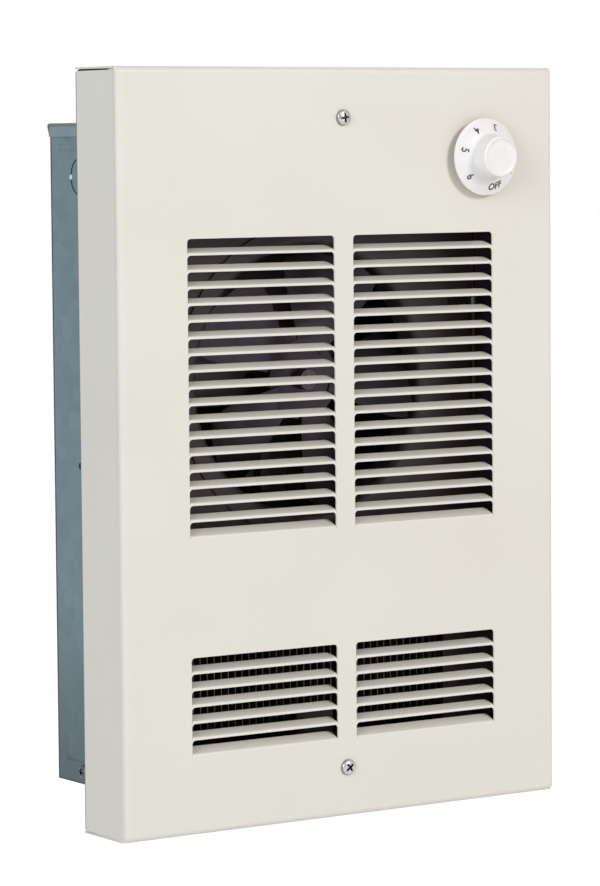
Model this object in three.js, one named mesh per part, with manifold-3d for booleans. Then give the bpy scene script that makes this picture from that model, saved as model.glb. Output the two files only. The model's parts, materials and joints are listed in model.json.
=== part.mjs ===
// A bathroom wall fan heater: a galvanised box for the wall, a deck with a fan, an element and a
// thermostat, and a painted front cover with two groups of lanced louvres.
// Millimetres. +X is to the right of someone who faces the heater, +Z is up and -Y is the front.
// The origin is the middle of the outside of the box's back.

import * as THREE from "three";
import { mergeVertices } from "three/addons/utils/BufferGeometryUtils.js";
import Module from "manifold-3d";

const wasm = await Module();
wasm.setup();

// ---------------------------------------------------------------- driving dimensions

const seat = 0.3; // gap that two pieces keep where they touch

// Wall box
const boxWidth = 254;
const boxSheet = 1.0;
const boxFold = 0.8; // inside radius of its folds
const recessDepth = 77; // from the box's back to the wall's surface
const boxStandout = 7; // rim in front of the wall's surface
const lapHeight = 8; // of the upper end's laps over the sides
const lapSlant = 2.5; // how far the rear edge of such a lap slants forward
const lapSheet = 1.0;
const lipHeight = 13; // of the front lips that the deck is screwed to
const knockoutRadius = 11.1;
const knockoutSlit = 0.4;
const knockoutTie = 3.2;
const knockoutDrop = 31.5; // centre of the side knockouts below the box's top
const knockoutSetback = 35.5; // and from its back
const knockoutSpread = 70; // between the knockouts of an end
const beadLength = 34;
const beadRadius = 1.9;
const beadDepth = 0.7;
const beadDrop = 14.5; // below the box's top
const beadSetback = 27; // middle of the bead from the back
const trayHeight = 12; // of the lower end's flanges inside the sides
const sideScrewRise = 7.5; // above the box's bottom
const sideScrewSetback = 31; // from the box's back
const nailHoleRadius = 2.2;
const nailHoleDrop = 6; // below the box's middle
const nailHoleSetback = 32; // from the box's back
const keyholeRadius = 2.6;
const keyholeInsetX = 38;
const keyholeInsetZ = 46;

// Front cover
const coverHeight = 440.4;
const coverSideLap = 26.4; // cover's reach past the box on each side
const coverEndLap = 25.2; // and at the top and bottom
const coverDepth = 44.8;
const coverSheet = 1.0;
const coverFold = 3.6; // outside radius of its folds
const coverRaise = 5.8; // cover's middle above the box's middle
const upperSlit = 1.1; // between a side flange and the top one
const lowerSlit = 0.4; // and the bottom one
const coverScrewInset = 29.3; // from the cover's top and bottom edges
const coverScrewHoleRadius = 2.9;
const knobInset = 54.2; // knob's axis from the cover's right edge
const knobDrop = 52.9; // and from its top edge
const stemHoleRadius = 8;

// Louvres
const louvrePitch = 9.525;
const louvreMargin = 46.05; // from the cover's sides to the louvres
const louvreGap = 13.7; // between the two columns
const louvreRidge = 1.2; // flat strip left between two openings
const louvreCorner = 2.3;
const louvreKerf = 0.15;
const louvreReach = 7.9; // how far a tab's free edge stands behind the front
const louvreRise = 3.2; // how far it stands above its fold
const lastLouvreRise = 4.2;
const louvreFold = 0.4; // inside radius
const louvreBand = 68.45; // plain band between the two groups
const lowerRows = 6;
const upperDrop = 98.2; // first upper opening below the cover's top
const lowerHeight = 102.3; // first lower opening above the cover's bottom

// Deck
const deckSheet = 1.2;
const deckFold = 1.2;
const deckFlange = 12;
const baffleDepth = 16; // how far a side baffle stands in front of the deck
const baffleOverrun = 6; // past the louvres at both ends
const deckMargin = 1.5; // deck's edge inside the box's edge
const outletInset = 31; // from the box's sides
const outletHeight = 60;
const grommetRadius = 7;
const grommetReach = 49.2; // to the left of the knob's axis
const grommetDrop = 35; // below the box's top
const grommetLip = 2.2;
const grommetBore = 4.6;
const deckCorner = 3;

// Fan
const fanRadius = 76;
const fanTipGap = 3;
const bladeCount = 5;
const bladeSweep = 48; // degrees that one blade covers
const bladeRootPitch = 9;
const bladeTipPitch = 25;
const bladeRootRadius = 19;
const bladeDisc = 24;
const bladeTipShare = 0.4; // outer share of a blade over which its ends are rounded
const bladeTipDraw = 0.2; // share of the sweep that the rounding takes at the tip
const bladeSheet = 1.2;
const bladeSetback = 44.8; // middle of the blades behind the cover's front
const ringSheet = 1.0;
const ringMouth = 5; // inside radius of the rolled mouth
const ringFlange = 8;
const ringCollar = 17; // depth behind the deck
const hubRadius = 6;
const hubFlangeRadius = 12;
const hubFlange = 2.4;
const hubBack = 8;
const hubFront = 6;
const setScrewRadius = 1.6;

// Fan motor
const shaftRadius = 3;
const bearingPlay = 0.2;
const bearingWall = 2.8;
const frameWall = 2.8;
const frameSheet = 2.5;
const frameHub = 5.4; // height of a frame's hub and ears over its bridge
const coreWidth = 64;
const coreTop = 26; // above the shaft
const coreBottom = 62; // below the shaft
const coreStack = 20;
const coreLeg = 12;
const coreCorner = 4;
const coreWindow = 25;
const rotorRadius = 12.7;
const rotorGap = 0.5;
const coilWall = 8;
const coilInset = 2;
const coilCorner = 4;
const boltSpacing = 54;
const boltRadius = 2;
const boltHead = 4;
const boltHeadHeight = 2.6;
const strapSheet = 1.5;
const strapWidth = 30;
const strapSpan = 184; // between the middles of its legs
const strapFoot = 14;
const strapGap = 2; // between the strap and the sweep of the blades

// Heating element
const tubeRadius = 4;
const tubeSpacing = 30;
const finCount = 20;
const finDepth = 24;
const finHeight = 54;
const finSheet = 0.5;
const elementSetback = 18; // tube's middle behind the deck's front
const bracketSheet = 1.2;
const bracketFoot = 11;
const bracketDepth = 31;
const bracketClear = 3; // between a bracket's middle and the outlet's edge
const coldEnd = 8; // bare tube outside the terminal bracket
const insulatorRadius = 5;
const insulatorLength = 3.6;
const pinRadius = 1.8;
const pinLength = 9;

// Limit switch
const limitInset = 36; // its middle from the outlet's right edge
const limitDrop = 22; // its middle below the air divider
const limitRadius = 9.5;
const limitDepth = 12;
const limitPlateLength = 31;
const limitPlateHeight = 13;
const limitPlate = 1;
const limitPlateCorner = 3.2;
const bladeTerminalWidth = 6.3;
const bladeTerminal = 0.8;
const bladeTerminalLength = 8;

// Air divider between the intake above and the outlet below
const dividerSheet = 1.0;
const dividerFoot = 12;
const dividerGap = 2; // to the inside of the cover
const dividerInset = 8; // from the ends of the deck

// Cover brackets, their nuts and screws
const footSheet = 1.5;
const footWidth = 26;
const footHeight = 21;
const footBase = 15;
const footGap = 0.4; // between a foot and the cover
const clipSheet = 0.7;
const clipWidth = 12;
const clipReach = 15;
const clipBarrel = 5;
const clipBarrelWall = 1.4;
const screwRadius = 2.3;
const screwHeadRadius = 4.7;
const screwHeadHeight = 2.9;
const screwLength = 12;
const screwCrown = 0.7; // share of a head's radius that is flat in front
const screwRim = 0.3; // share of a head's height that its rim takes
const screwRecess = 1.6; // depth of the cross recess
const screwCross = 1.3; // width of its arms
const screwCrossReach = 2.6; // length of its arms
const deckScrewInsetX = 34;
const deckScrewHead = 4;
const deckScrewHeadHeight = 2.3;
const deckScrewPoint = 9; // length past the sheets it holds
const sideScrewLength = 8;

// Thermostat
const thermostatWidth = 44;
const thermostatHeight = 52;
const thermostatDepth = 24;
const thermostatEdge = 2;
const thermostatRoom = 5; // from its plate to the inside of the cover
const thermostatPlate = 1.2;
const thermostatFoot = 14;
const thermostatLeg = 30; // from the stem down to the bracket's leg
const thermostatScrewSpacing = 28;
const thermostatScrewHead = 3.6;
const thermostatScrewHeadHeight = 2.1;
const terminalOffset = 8; // its terminals above and below the stem
const bossRadius = 5;
const bossLength = 4;
const stemRadius = 3;
const stemFlat = 0.8;
const stemSocket = 8;
const bulbRadius = 2.4;
const bulbLength = 70;
const bulbSetback = 9; // bulb's axis in front of the deck
const bulbInset = 12; // bulb's axis from the deck's side
const bulbDrop = 22; // its lower end below the fan's axis
const bulbClipSheet = 0.8;
const bulbClipWidth = 9;
const bulbClipFoot = 9;
const bulbClipInset = 6; // its middle from the bulb's top end
const capillaryRadius = 0.9;
const capillaryHole = 1.8;

// Knob
const knobRadius = 22.9;
const knobStandoff = 4.6; // rim in front of the cover
const knobRim = 1.3;
const knobSkirt = 5; // rise of the skirt from its rim to the grip
const gripBase = 13;
const gripFront = 12.2;
const gripLength = 10.2;
const gripEdge = 1.3;
const knobDish = 0.7;
const knobWall = 1.6;
const knobHub = 6;
const knobBoreFront = 4; // solid left in front of the bore
const springSheet = 0.8;
const springWidth = 3.2;
const springGap = 1.6;

// Terminal block and wiring
const blockWidth = 40;
const blockHeight = 22;
const blockDepth = 14;
const blockInsetX = 14; // from the deck's side
const blockDrop = 24; // its top below the box's top
const blockCorner = 2;
const blockPocket = 3.8;
const blockPocketDepth = 4.7;
const groundGap = 19.7; // from the terminal block to the middle of the earth screw
const groundDrop = 35;
const groundLength = 6;
const wireRadius = 1.3;
const slack = 10; // about how far a wire bows away from what it passes

// Facets
const fineSides = 28;
const roundSides = 18;
const smallSides = 12;
const screwSides = 8;
const tubeSides = 8;
const wireSides = 6;
const wireStep = 12; // length of one straight stretch of a wire
const returnSteps = 8; // along the element's return bend
const bendSteps = 2;
const knockoutSides = 14;
const bladeSteps = 4;
const through = 4; // how far a cutting solid passes the sheet

// ---------------------------------------------------------------- places worked out from them

const degree = Math.PI / 180;
const wallPlane = -recessDepth;
const boxRim = wallPlane - boxStandout;
const boxHeight = coverHeight - 2 * coverEndLap;
const boxTop = boxHeight / 2;
const coverWidth = boxWidth + 2 * coverSideLap;
const coverFront = wallPlane - coverDepth;
const coverInside = coverFront + coverSheet;
const coverTop = coverRaise + coverHeight / 2;
const coverBottom = coverRaise - coverHeight / 2;
const louvreWidth = coverWidth / 2 - louvreMargin - louvreGap / 2;
const upperRoom = coverHeight - upperDrop - louvreBand - lowerHeight;
const upperRows = Math.round(upperRoom / louvrePitch);
const upperTop = coverTop - upperDrop;
const lowerTop = coverBottom + lowerHeight;
const deckBack = boxRim - seat;
const deckFront = deckBack - deckSheet;
const deckSide = boxWidth / 2 - boxSheet - seat;
const deckEnd = boxTop - deckMargin;
const fanZ = upperTop - (upperRows * louvrePitch) / 2;
const outletZ = lowerTop - (lowerRows * louvrePitch) / 2;
const dividerZ = (upperTop - upperRows * louvrePitch + lowerTop) / 2;
const ringBore = fanRadius + fanTipGap;
const ringHole = ringBore + ringSheet + ringMouth + seat;
const bladeY = coverFront + bladeSetback;
const tipHalf = (bladeSweep / 2) * degree * fanRadius * Math.tan(bladeTipPitch * degree);
const strapFront = bladeY + tipHalf + strapGap;
const motorFront = strapFront + strapSheet + seat;
const coreFront = motorFront + frameHub + frameSheet + seat;
const coreBack = coreFront + coreStack;
const motorBack = coreBack + seat + frameSheet + frameHub;
const bearingRadius = shaftRadius + bearingPlay + bearingWall;
const bearingPocket = bearingRadius + seat;
const knobX = coverWidth / 2 - knobInset;
const knobZ = coverTop - knobDrop;
const plateFront = coverInside + thermostatRoom;
const bodyFront = plateFront + thermostatPlate + seat;
const bodyBack = bodyFront + thermostatDepth;
const knobRear = coverFront - knobStandoff;
const gripStart = knobRear - knobRim - knobSkirt;
const knobFront = gripStart - gripLength;
const coverScrewTop = coverTop - coverScrewInset;
const coverScrewBottom = coverBottom + coverScrewInset;
const elementY = deckFront + elementSetback;
const outletWidth = boxWidth - 2 * outletInset;
const bracketX = outletWidth / 2 + bracketClear;
const blockLeft = -deckSide + blockInsetX;
const blockTop = boxTop - blockDrop;
const groundX = blockLeft + blockWidth + groundGap;
const limitX = outletWidth / 2 - limitInset;
const limitZ = dividerZ - limitDrop;
const grommetX = knobX - grommetReach;
const grommetZ = boxTop - grommetDrop;
const bulbX = deckSide - bulbInset;
const bulbY = deckFront - bulbSetback;
const bulbBottom = fanZ - bulbDrop;
const sideScrewZ = sideScrewRise - boxTop;
const elementUpper = outletZ + tubeSpacing / 2;
const elementLower = outletZ - tubeSpacing / 2;
const elementStart = -bracketX - bracketSheet / 2 - coldEnd;

// ---------------------------------------------------------------- finishes

const finish = (color, roughness, metalness) => ({ color, roughness, metalness });
const coverPaint = finish(0xe7e1d8, 0.42, 0);
const galvanised = finish(0x6b818b, 0.45, 0.7);
const blackEnamel = finish(0x2a2628, 0.55, 0);
const zincPlate = finish(0xb9bcbd, 0.35, 0.9);
const aluminium = finish(0x66686b, 0.5, 0.8);
const darkSteel = finish(0x4b4a4d, 0.6, 0.6);
const shaftSteel = finish(0x9a9ca0, 0.25, 1);
const bronze = finish(0xa07a45, 0.4, 0.9);
const copperTape = finish(0x6e5230, 0.6, 0);
const elementSteel = finish(0x77726c, 0.5, 0.8);
const ceramic = finish(0xe9e4da, 0.5, 0);
const phenolic = finish(0x262425, 0.5, 0);
const knobPlastic = finish(0xf4f1ee, 0.3, 0);
const rubber = finish(0x2c2b2b, 0.8, 0);
const copper = finish(0x6b4632, 0.5, 0.9);
const greenScrew = finish(0x3f7f4a, 0.45, 0.3);
const blackWire = finish(0x222124, 0.6, 0);
const redWire = finish(0xa33a2e, 0.6, 0);

// ---------------------------------------------------------------- making and joining solids

const model = new THREE.Group();

// A closed geometry as a solid that can be joined and cut.
function solid(geometry) {
  const loose = geometry.index ? geometry.toNonIndexed() : geometry;
  const points = new THREE.BufferGeometry();
  points.setAttribute("position", loose.getAttribute("position"));
  const merged = mergeVertices(points, 1e-4);
  return new wasm.Manifold(
    new wasm.Mesh({
      numProp: 3,
      vertProperties: merged.attributes.position.array,
      triVerts: new Uint32Array(merged.index.array),
    }),
  );
}

const join = (...solids) => solids.reduce((whole, piece) => whole.add(piece));
const cut = (body, ...tools) => tools.reduce((whole, tool) => whole.subtract(tool), body);

// A finished solid becomes one named mesh of the model.
function add(name, body, look) {
  const mesh = body.getMesh();
  const geometry = new THREE.BufferGeometry();
  geometry.setAttribute("position", new THREE.BufferAttribute(mesh.vertProperties, 3));
  geometry.setIndex(new THREE.BufferAttribute(mesh.triVerts, 1));
  geometry.computeVertexNormals();
  const part = new THREE.Mesh(geometry, new THREE.MeshStandardMaterial(look));
  part.name = name;
  model.add(part);
}

const outline = (...pairs) => pairs.map(([u, v]) => new THREE.Vector2(u, v));
const rectangle = (u0, u1, v0, v1) => outline([u0, v0], [u1, v0], [u1, v1], [u0, v1]);

function circle(radius, sides = roundSides, u = 0, v = 0) {
  return Array.from({ length: sides }, (_, i) => {
    const angle = (i * 2 * Math.PI) / sides;
    return new THREE.Vector2(u + radius * Math.cos(angle), v + radius * Math.sin(angle));
  });
}

// A rectangle with every corner rounded.
function roundedRectangle(u0, u1, v0, v1, radius) {
  const corners = [
    [u1 - radius, v1 - radius],
    [u0 + radius, v1 - radius],
    [u0 + radius, v0 + radius],
    [u1 - radius, v0 + radius],
  ];
  return corners.flatMap(([u, v], corner) =>
    Array.from({ length: bendSteps + 1 }, (_, i) => {
      const angle = (corner + i / bendSteps) * 90 * degree;
      return new THREE.Vector2(u + radius * Math.cos(angle), v + radius * Math.sin(angle));
    }),
  );
}

// An outline pushed along an axis. It lies in (y, z) for x, (x, z) for y and (x, y) for z.
const axisFrames = {
  x: [new THREE.Vector3(0, 1, 0), new THREE.Vector3(0, 0, 1), new THREE.Vector3(1, 0, 0)],
  y: [new THREE.Vector3(1, 0, 0), new THREE.Vector3(0, 0, 1), new THREE.Vector3(0, -1, 0)],
  z: [new THREE.Vector3(1, 0, 0), new THREE.Vector3(0, 1, 0), new THREE.Vector3(0, 0, 1)],
};

function prism(points, axis, from, to) {
  const geometry = new THREE.ExtrudeGeometry(new THREE.Shape(points), {
    depth: Math.abs(to - from),
    bevelEnabled: false,
  });
  const [u, v, w] = axisFrames[axis];
  const start = axis === "y" ? -Math.max(from, to) : Math.min(from, to);
  geometry.translate(0, 0, start);
  geometry.applyMatrix4(new THREE.Matrix4().makeBasis(u, v, w));
  return solid(geometry);
}

const block = (x0, x1, y0, y1, z0, z1) => {
  const [bottom, top] = [Math.min(z0, z1), Math.max(z0, z1)];
  return prism(rectangle(Math.min(x0, x1), Math.max(x0, x1), y0, y1), "z", bottom, top);
};

// A round bar or a hole along an axis.
const rod = (radius, axis, from, to, u, v, sides = smallSides) =>
  prism(circle(radius, sides, u, v), axis, from, to);

// A turned piece on an axis that runs along Y through (x, z). Pairs are radius and y.
function turned(profile, sides, x = 0, z = 0) {
  const geometry = new THREE.LatheGeometry(outline(...profile), sides);
  geometry.translate(x, 0, z);
  return solid(geometry);
}

function sleeve(inner, outer, back, front, sides, x, z) {
  const profile = [[inner, front], [outer, front], [outer, back], [inner, back], [inner, front]];
  return turned(profile, sides, x, z);
}

// The same step once for each side.
const both = (make) => [-1, 1].map((side) => make(side));

const along = (angle, length) =>
  new THREE.Vector2(length * Math.cos(angle), length * Math.sin(angle));
const across = (angle, length) => along(angle + 90 * degree, length);

// The section of a folded sheet: its middle line with a round fold at each inner corner.
function folded(corners, thickness, insideRadius) {
  const bend = insideRadius + thickness / 2;
  const points = corners.map(([u, v]) => new THREE.Vector2(u, v));
  const left = [];
  const right = [];
  const lay = (point, angle) => {
    const normal = across(angle, thickness / 2);
    left.push(point.clone().add(normal));
    right.push(point.clone().sub(normal));
  };
  points.forEach((point, i) => {
    if (i === 0 || i === points.length - 1) {
      const [from, to] = i === 0 ? [point, points[1]] : [points[i - 1], point];
      lay(point, to.clone().sub(from).angle());
      return;
    }
    const before = point.clone().sub(points[i - 1]).angle();
    const after = points[i + 1].clone().sub(point).angle();
    const turn = Math.atan2(Math.sin(after - before), Math.cos(after - before));
    const trim = bend * Math.tan(Math.abs(turn) / 2);
    const side = Math.sign(turn);
    const start = point.clone().sub(along(before, trim));
    const centre = start.add(across(before, bend * side));
    for (let step = 0; step <= bendSteps; step++) {
      const angle = before + (turn * step) / bendSteps;
      lay(centre.clone().sub(across(angle, bend * side)), angle);
    }
  });
  return [...right, ...left.reverse()];
}

// A tube through hand-picked points, such as a wire.
function tube(points, radius, stretch = wireStep, sides = wireSides) {
  const places = points.map((point) => new THREE.Vector3(...point));
  const path = new THREE.CatmullRomCurve3(places, false, "centripetal");
  const geometry = new THREE.ExtrudeGeometry(new THREE.Shape(circle(radius, sides)), {
    steps: Math.max(bendSteps * 2, Math.round(path.getLength() / stretch)),
    extrudePath: path,
    bevelEnabled: false,
  });
  return solid(geometry);
}

// ---------------------------------------------------------------- wall box

// A knockout: a disc pressed in a little, held in its round slit by one tie.
function knockout(sheet, axis, outside, inward, u, v) {
  const inside = outside + inward * boxSheet;
  const pressed = knockoutSlit * inward;
  const round = (radius, from, to) => rod(radius, axis, from, to, u, v, knockoutSides);
  const hole = round(knockoutRadius, outside - inward * through, inside + inward * through);
  const disc = round(knockoutRadius - knockoutSlit, outside + pressed, inside + pressed);
  const tieEnd = knockoutRadius + knockoutSlit;
  const tieStart = knockoutRadius - 2 * knockoutSlit;
  const tie = prism(
    rectangle(u + tieStart, u + tieEnd, v - knockoutTie / 2, v + knockoutTie / 2),
    axis,
    outside + pressed,
    inside,
  );
  return join(cut(sheet, hole), disc, tie);
}

function addWallBox() {
  const half = boxWidth / 2;
  const middle = half - boxSheet / 2;
  const back = -boxSheet / 2;
  const end = boxTop - boxSheet - seat;
  const corners = [[-middle, boxRim], [-middle, back], [middle, back], [middle, boxRim]];
  let box = prism(folded(corners, boxSheet, boxFold), "z", -boxTop, end);
  for (const side of [-1, 1]) {
    const outside = side * half;
    const [near, far] = [outside - side * through, outside + side * through];
    box = knockout(box, "x", outside, -side, -knockoutSetback, boxTop - knockoutDrop);
    box = cut(
      box,
      rod(nailHoleRadius, "x", near, far, -nailHoleSetback, -nailHoleDrop),
      sideScrewHole(side),
    );
    for (const level of [-1, 1]) {
      const z = level * (boxTop - beadDrop);
      const groove = beadSolid(outside + side * (beadRadius - beadDepth), z);
      const bulge = beadSolid(outside + side * (beadRadius - beadDepth - boxSheet), z);
      const inner = block(
        outside - side * boxSheet,
        outside - side * (boxSheet + beadRadius * 2),
        boxRim,
        -boxSheet,
        z - beadRadius * 2,
        z + beadRadius * 2,
      );
      box = cut(join(box, bulge.intersect(inner)), groove);
    }
    for (const level of [-1, 1]) {
      const [x, z] = [side * (half - keyholeInsetX), level * (boxTop - keyholeInsetZ)];
      box = cut(box, rod(keyholeRadius, "y", through, -through, x, z));
    }
  }
  add("wall_box", box, galvanised);
}

// The hole that a side screw of the lower end goes through.
function sideScrewHole(side) {
  const [near, far] = [side * (boxWidth / 2 - through), side * (boxWidth / 2 + through)];
  return rod(screwRadius, "x", near, far, -sideScrewSetback, sideScrewZ);
}

// A long bead with round ends, lying along Y.
function beadSolid(x, z) {
  const run = beadLength / 2 - beadRadius;
  const half = [[0, beadLength / 2]];
  for (let i = 1; i <= bendSteps; i++) {
    const angle = (i / bendSteps) * 90 * degree;
    half.push([beadRadius * Math.sin(angle), run + beadRadius * Math.cos(angle)]);
  }
  const rear = half.map(([radius, y]) => [radius, -beadSetback - y]);
  const front = half.map(([radius, y]) => [radius, -beadSetback + y]).reverse();
  return turned([...rear, ...front], smallSides, x, z);
}

// The front lip and the rear flange of an end, folded from its plate.
function endFlanges(level, rearHeight, reach) {
  const plateZ = level * (boxTop - lapSheet / 2);
  const backY = -boxSheet - seat - lapSheet / 2;
  const lipY = boxRim + lapSheet / 2;
  const lipEnd = level * (boxTop - lipHeight);
  const rearEnd = level * (boxTop - rearHeight);
  const section = [[lipY, lipEnd], [lipY, plateZ], [backY, plateZ], [backY, rearEnd]];
  return prism(folded(section, lapSheet, boxFold), "x", -reach, reach);
}

// The holes of the deck's screws and the two knockouts that each end has.
function pierceEnd(end, level) {
  let pierced = end;
  for (const side of [-1, 1]) {
    const x = side * (boxWidth / 2 - deckScrewInsetX);
    const z = level * (boxTop - lipHeight / 2);
    pierced = cut(pierced, rod(screwRadius, "y", boxRim - through, boxRim + through, x, z));
    const place = (side * knockoutSpread) / 2;
    pierced = knockout(pierced, "z", level * boxTop, -level, place, wallPlane / 2);
  }
  return pierced;
}

// The upper end's side flanges lap over the box's sides; their rear edges slant forward.
function upperEnd() {
  const middle = boxWidth / 2 + seat + lapSheet / 2;
  const plateZ = boxTop - lapSheet / 2;
  const plateInside = boxTop - lapSheet;
  const lapZ = boxTop - lapHeight;
  const pan = folded(
    [[-middle, lapZ], [-middle, plateZ], [middle, plateZ], [middle, lapZ]],
    lapSheet,
    boxFold,
  );
  const innerSide = boxWidth / 2 - boxSheet - seat;
  const rearX = innerSide + boxFold + seat;
  const rearGap = block(-rearX, rearX, -boxSheet - seat, through, lapZ, plateInside);
  const slope = lapSlant / (plateInside - lapZ);
  const below = lapZ - through;
  const corner = outline(
    [0, plateInside], [through, plateInside], [through, below], [slope * (below - plateInside), below],
  );
  const slants = both((side) => {
    const face = (side * boxWidth) / 2;
    return prism(corner, "x", face, face + side * through);
  });
  const laps = cut(prism(pan, "y", 0, boxRim), rearGap, ...slants);
  return pierceEnd(join(laps, endFlanges(1, lapHeight, innerSide)), 1);
}

// The lower end is a tray whose flanges stand inside the sides, where a screw holds each of them.
function lowerEnd() {
  const middle = boxWidth / 2 - boxSheet - seat - lapSheet / 2;
  const plateZ = lapSheet / 2 - boxTop;
  const flangeZ = trayHeight - boxTop;
  const tray = folded(
    [[-middle, flangeZ], [-middle, plateZ], [middle, plateZ], [middle, flangeZ]],
    lapSheet,
    boxFold,
  );
  const rear = -boxSheet - boxFold - seat;
  const flanges = endFlanges(-1, trayHeight, middle);
  return pierceEnd(cut(join(prism(tray, "y", rear, boxRim), flanges), ...both(sideScrewHole)), -1);
}

// ---------------------------------------------------------------- front cover

// The cover's outline seen along an axis: a box with its two front edges rounded.
function coverSection(half0, half1, front, rear, radius) {
  const arc = (u, from) =>
    Array.from({ length: bendSteps + 2 }, (_, i) => {
      const angle = (from + (i / (bendSteps + 1)) * 90) * degree;
      return [u + radius * Math.cos(angle), front + radius + radius * Math.sin(angle)];
    });
  return [[half0, rear], ...arc(half0 + radius, 180), ...arc(half1 - radius, 270), [half1, rear]];
}

function coverEnvelope(inset, rear) {
  const radius = coverFold - inset;
  const front = coverFront + inset;
  const half = coverWidth / 2 - inset;
  const plan = coverSection(-half, half, front, rear, radius);
  const elevation = coverSection(coverBottom + inset, coverTop - inset, front, rear, radius);
  const upright = prism(outline(...plan), "z", coverBottom + inset, coverTop - inset);
  const swapped = elevation.map(([z, y]) => [y, z]).reverse();
  return upright.intersect(prism(outline(...swapped), "x", -half, half));
}

// Where a louvre row's opening starts, and how high its tab stands.
function louvreRows() {
  const rows = [];
  for (let i = 0; i < upperRows; i++)
    rows.push([upperTop - i * louvrePitch, i === upperRows - 1 ? lastLouvreRise : louvreRise]);
  for (let i = 0; i < lowerRows; i++)
    rows.push([lowerTop - i * louvrePitch, i === lowerRows - 1 ? lastLouvreRise : louvreRise]);
  return rows;
}

const openingHeight = louvrePitch - louvreRidge;

// The opening has round upper corners and a straight lower edge, where its tab is folded in.
function louvreOpening(x, top) {
  const half = louvreWidth / 2;
  const bottom = top - openingHeight;
  const corner = (side, from) =>
    Array.from({ length: bendSteps + 1 }, (_, i) => {
      const angle = (from + (i / bendSteps) * 90) * degree;
      return [
        x + side * (half - louvreCorner) + louvreCorner * Math.cos(angle),
        top - louvreCorner + louvreCorner * Math.sin(angle),
      ];
    });
  const points = [[x - half, bottom], [x + half, bottom], ...corner(1, 0), ...corner(-1, 90)];
  return prism(outline(...points), "y", coverFront - through, coverInside + through);
}

// The tab: the lanced blank, folded back about its lower edge. Each row of the blank has a place
// on the fold and a half width, which shrinks over the round free corners.
function louvreTab(x, top, rise) {
  const root = top - openingHeight;
  const bend = louvreFold + coverSheet / 2;
  const lean = Math.atan2(louvreReach, rise);
  const half = louvreWidth / 2 - louvreKerf;
  const straight = Math.hypot(louvreReach, rise) - bend * Math.tan(lean / 2);
  const rows = [];
  const lay = (y, z, angle, width) => rows.push({ y, z, angle, width });
  lay(coverFront + coverSheet / 2, root - louvreRidge / 2, 0, half);
  for (let i = 0; i <= bendSteps; i++) {
    const angle = (lean * i) / bendSteps;
    const y = coverFront + coverSheet / 2 + bend * (1 - Math.cos(angle));
    lay(y, root + bend * Math.sin(angle), angle, half);
  }
  const foot = rows[rows.length - 1];
  for (let i = 0; i <= bendSteps; i++) {
    const angle = (i / bendSteps) * 90 * degree;
    const run = straight - louvreCorner * (1 - Math.sin(angle));
    const width = half - louvreCorner * (1 - Math.cos(angle));
    lay(foot.y + run * Math.sin(lean), foot.z + run * Math.cos(lean), lean, width);
  }
  const positions = [];
  for (const row of rows)
    for (const side of [-1, 1])
      for (const face of [-1, 1]) {
        const offset = (face * coverSheet) / 2;
        const y = row.y + offset * Math.cos(row.angle);
        const z = row.z - offset * Math.sin(row.angle);
        positions.push(x + side * row.width, y, z);
      }
  // Around a row the corners run: left front, left back, right back, right front.
  const ring = [0, 1, 3, 2];
  const index = [0, 3, 2, 0, 1, 3];
  const last = (rows.length - 1) * 4;
  index.push(last, last + 2, last + 3, last, last + 3, last + 1);
  for (let row = 0; row < rows.length - 1; row++)
    ring.forEach((from, i) => {
      const to = ring[(i + 1) % ring.length];
      const [a, b] = [row * 4 + from, row * 4 + to];
      index.push(a, b + 4, b, a, a + 4, b + 4);
    });
  const geometry = new THREE.BufferGeometry();
  geometry.setAttribute("position", new THREE.Float32BufferAttribute(positions, 3));
  geometry.setIndex(index);
  return solid(geometry);
}

function addFrontCover() {
  let cover = cut(coverEnvelope(0, wallPlane), coverEnvelope(coverSheet, wallPlane + through));
  const columnX = (louvreGap + louvreWidth) / 2;
  for (const x of [-columnX, columnX])
    for (const [top, rise] of louvreRows())
      cover = cut(cover, louvreOpening(x, top)).add(louvreTab(x, top, rise));
  // The side flanges stop short of the top and bottom ones, which leaves a slit at each corner.
  for (const side of [-1, 1])
    for (const [end, level, gap] of [[coverTop, -1, upperSlit], [coverBottom, 1, lowerSlit]]) {
      const outer = (side * coverWidth) / 2;
      const z = end + level * coverSheet;
      const slit = block(
        outer + side * through, outer - side * (coverSheet + seat),
        coverFront + coverFold, wallPlane + through,
        z, z + level * gap,
      );
      cover = cut(cover, slit);
    }
  const pierce = (radius, x, z, sides) =>
    rod(radius, "y", coverInside + through, coverFront - through, x, z, sides);
  cover = cut(
    cover,
    pierce(coverScrewHoleRadius, 0, coverScrewTop),
    pierce(coverScrewHoleRadius, 0, coverScrewBottom),
    pierce(stemHoleRadius, knobX, knobZ, roundSides),
  );
  add("front_cover", cover, coverPaint);
}

// ---------------------------------------------------------------- deck, ring and divider

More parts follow.
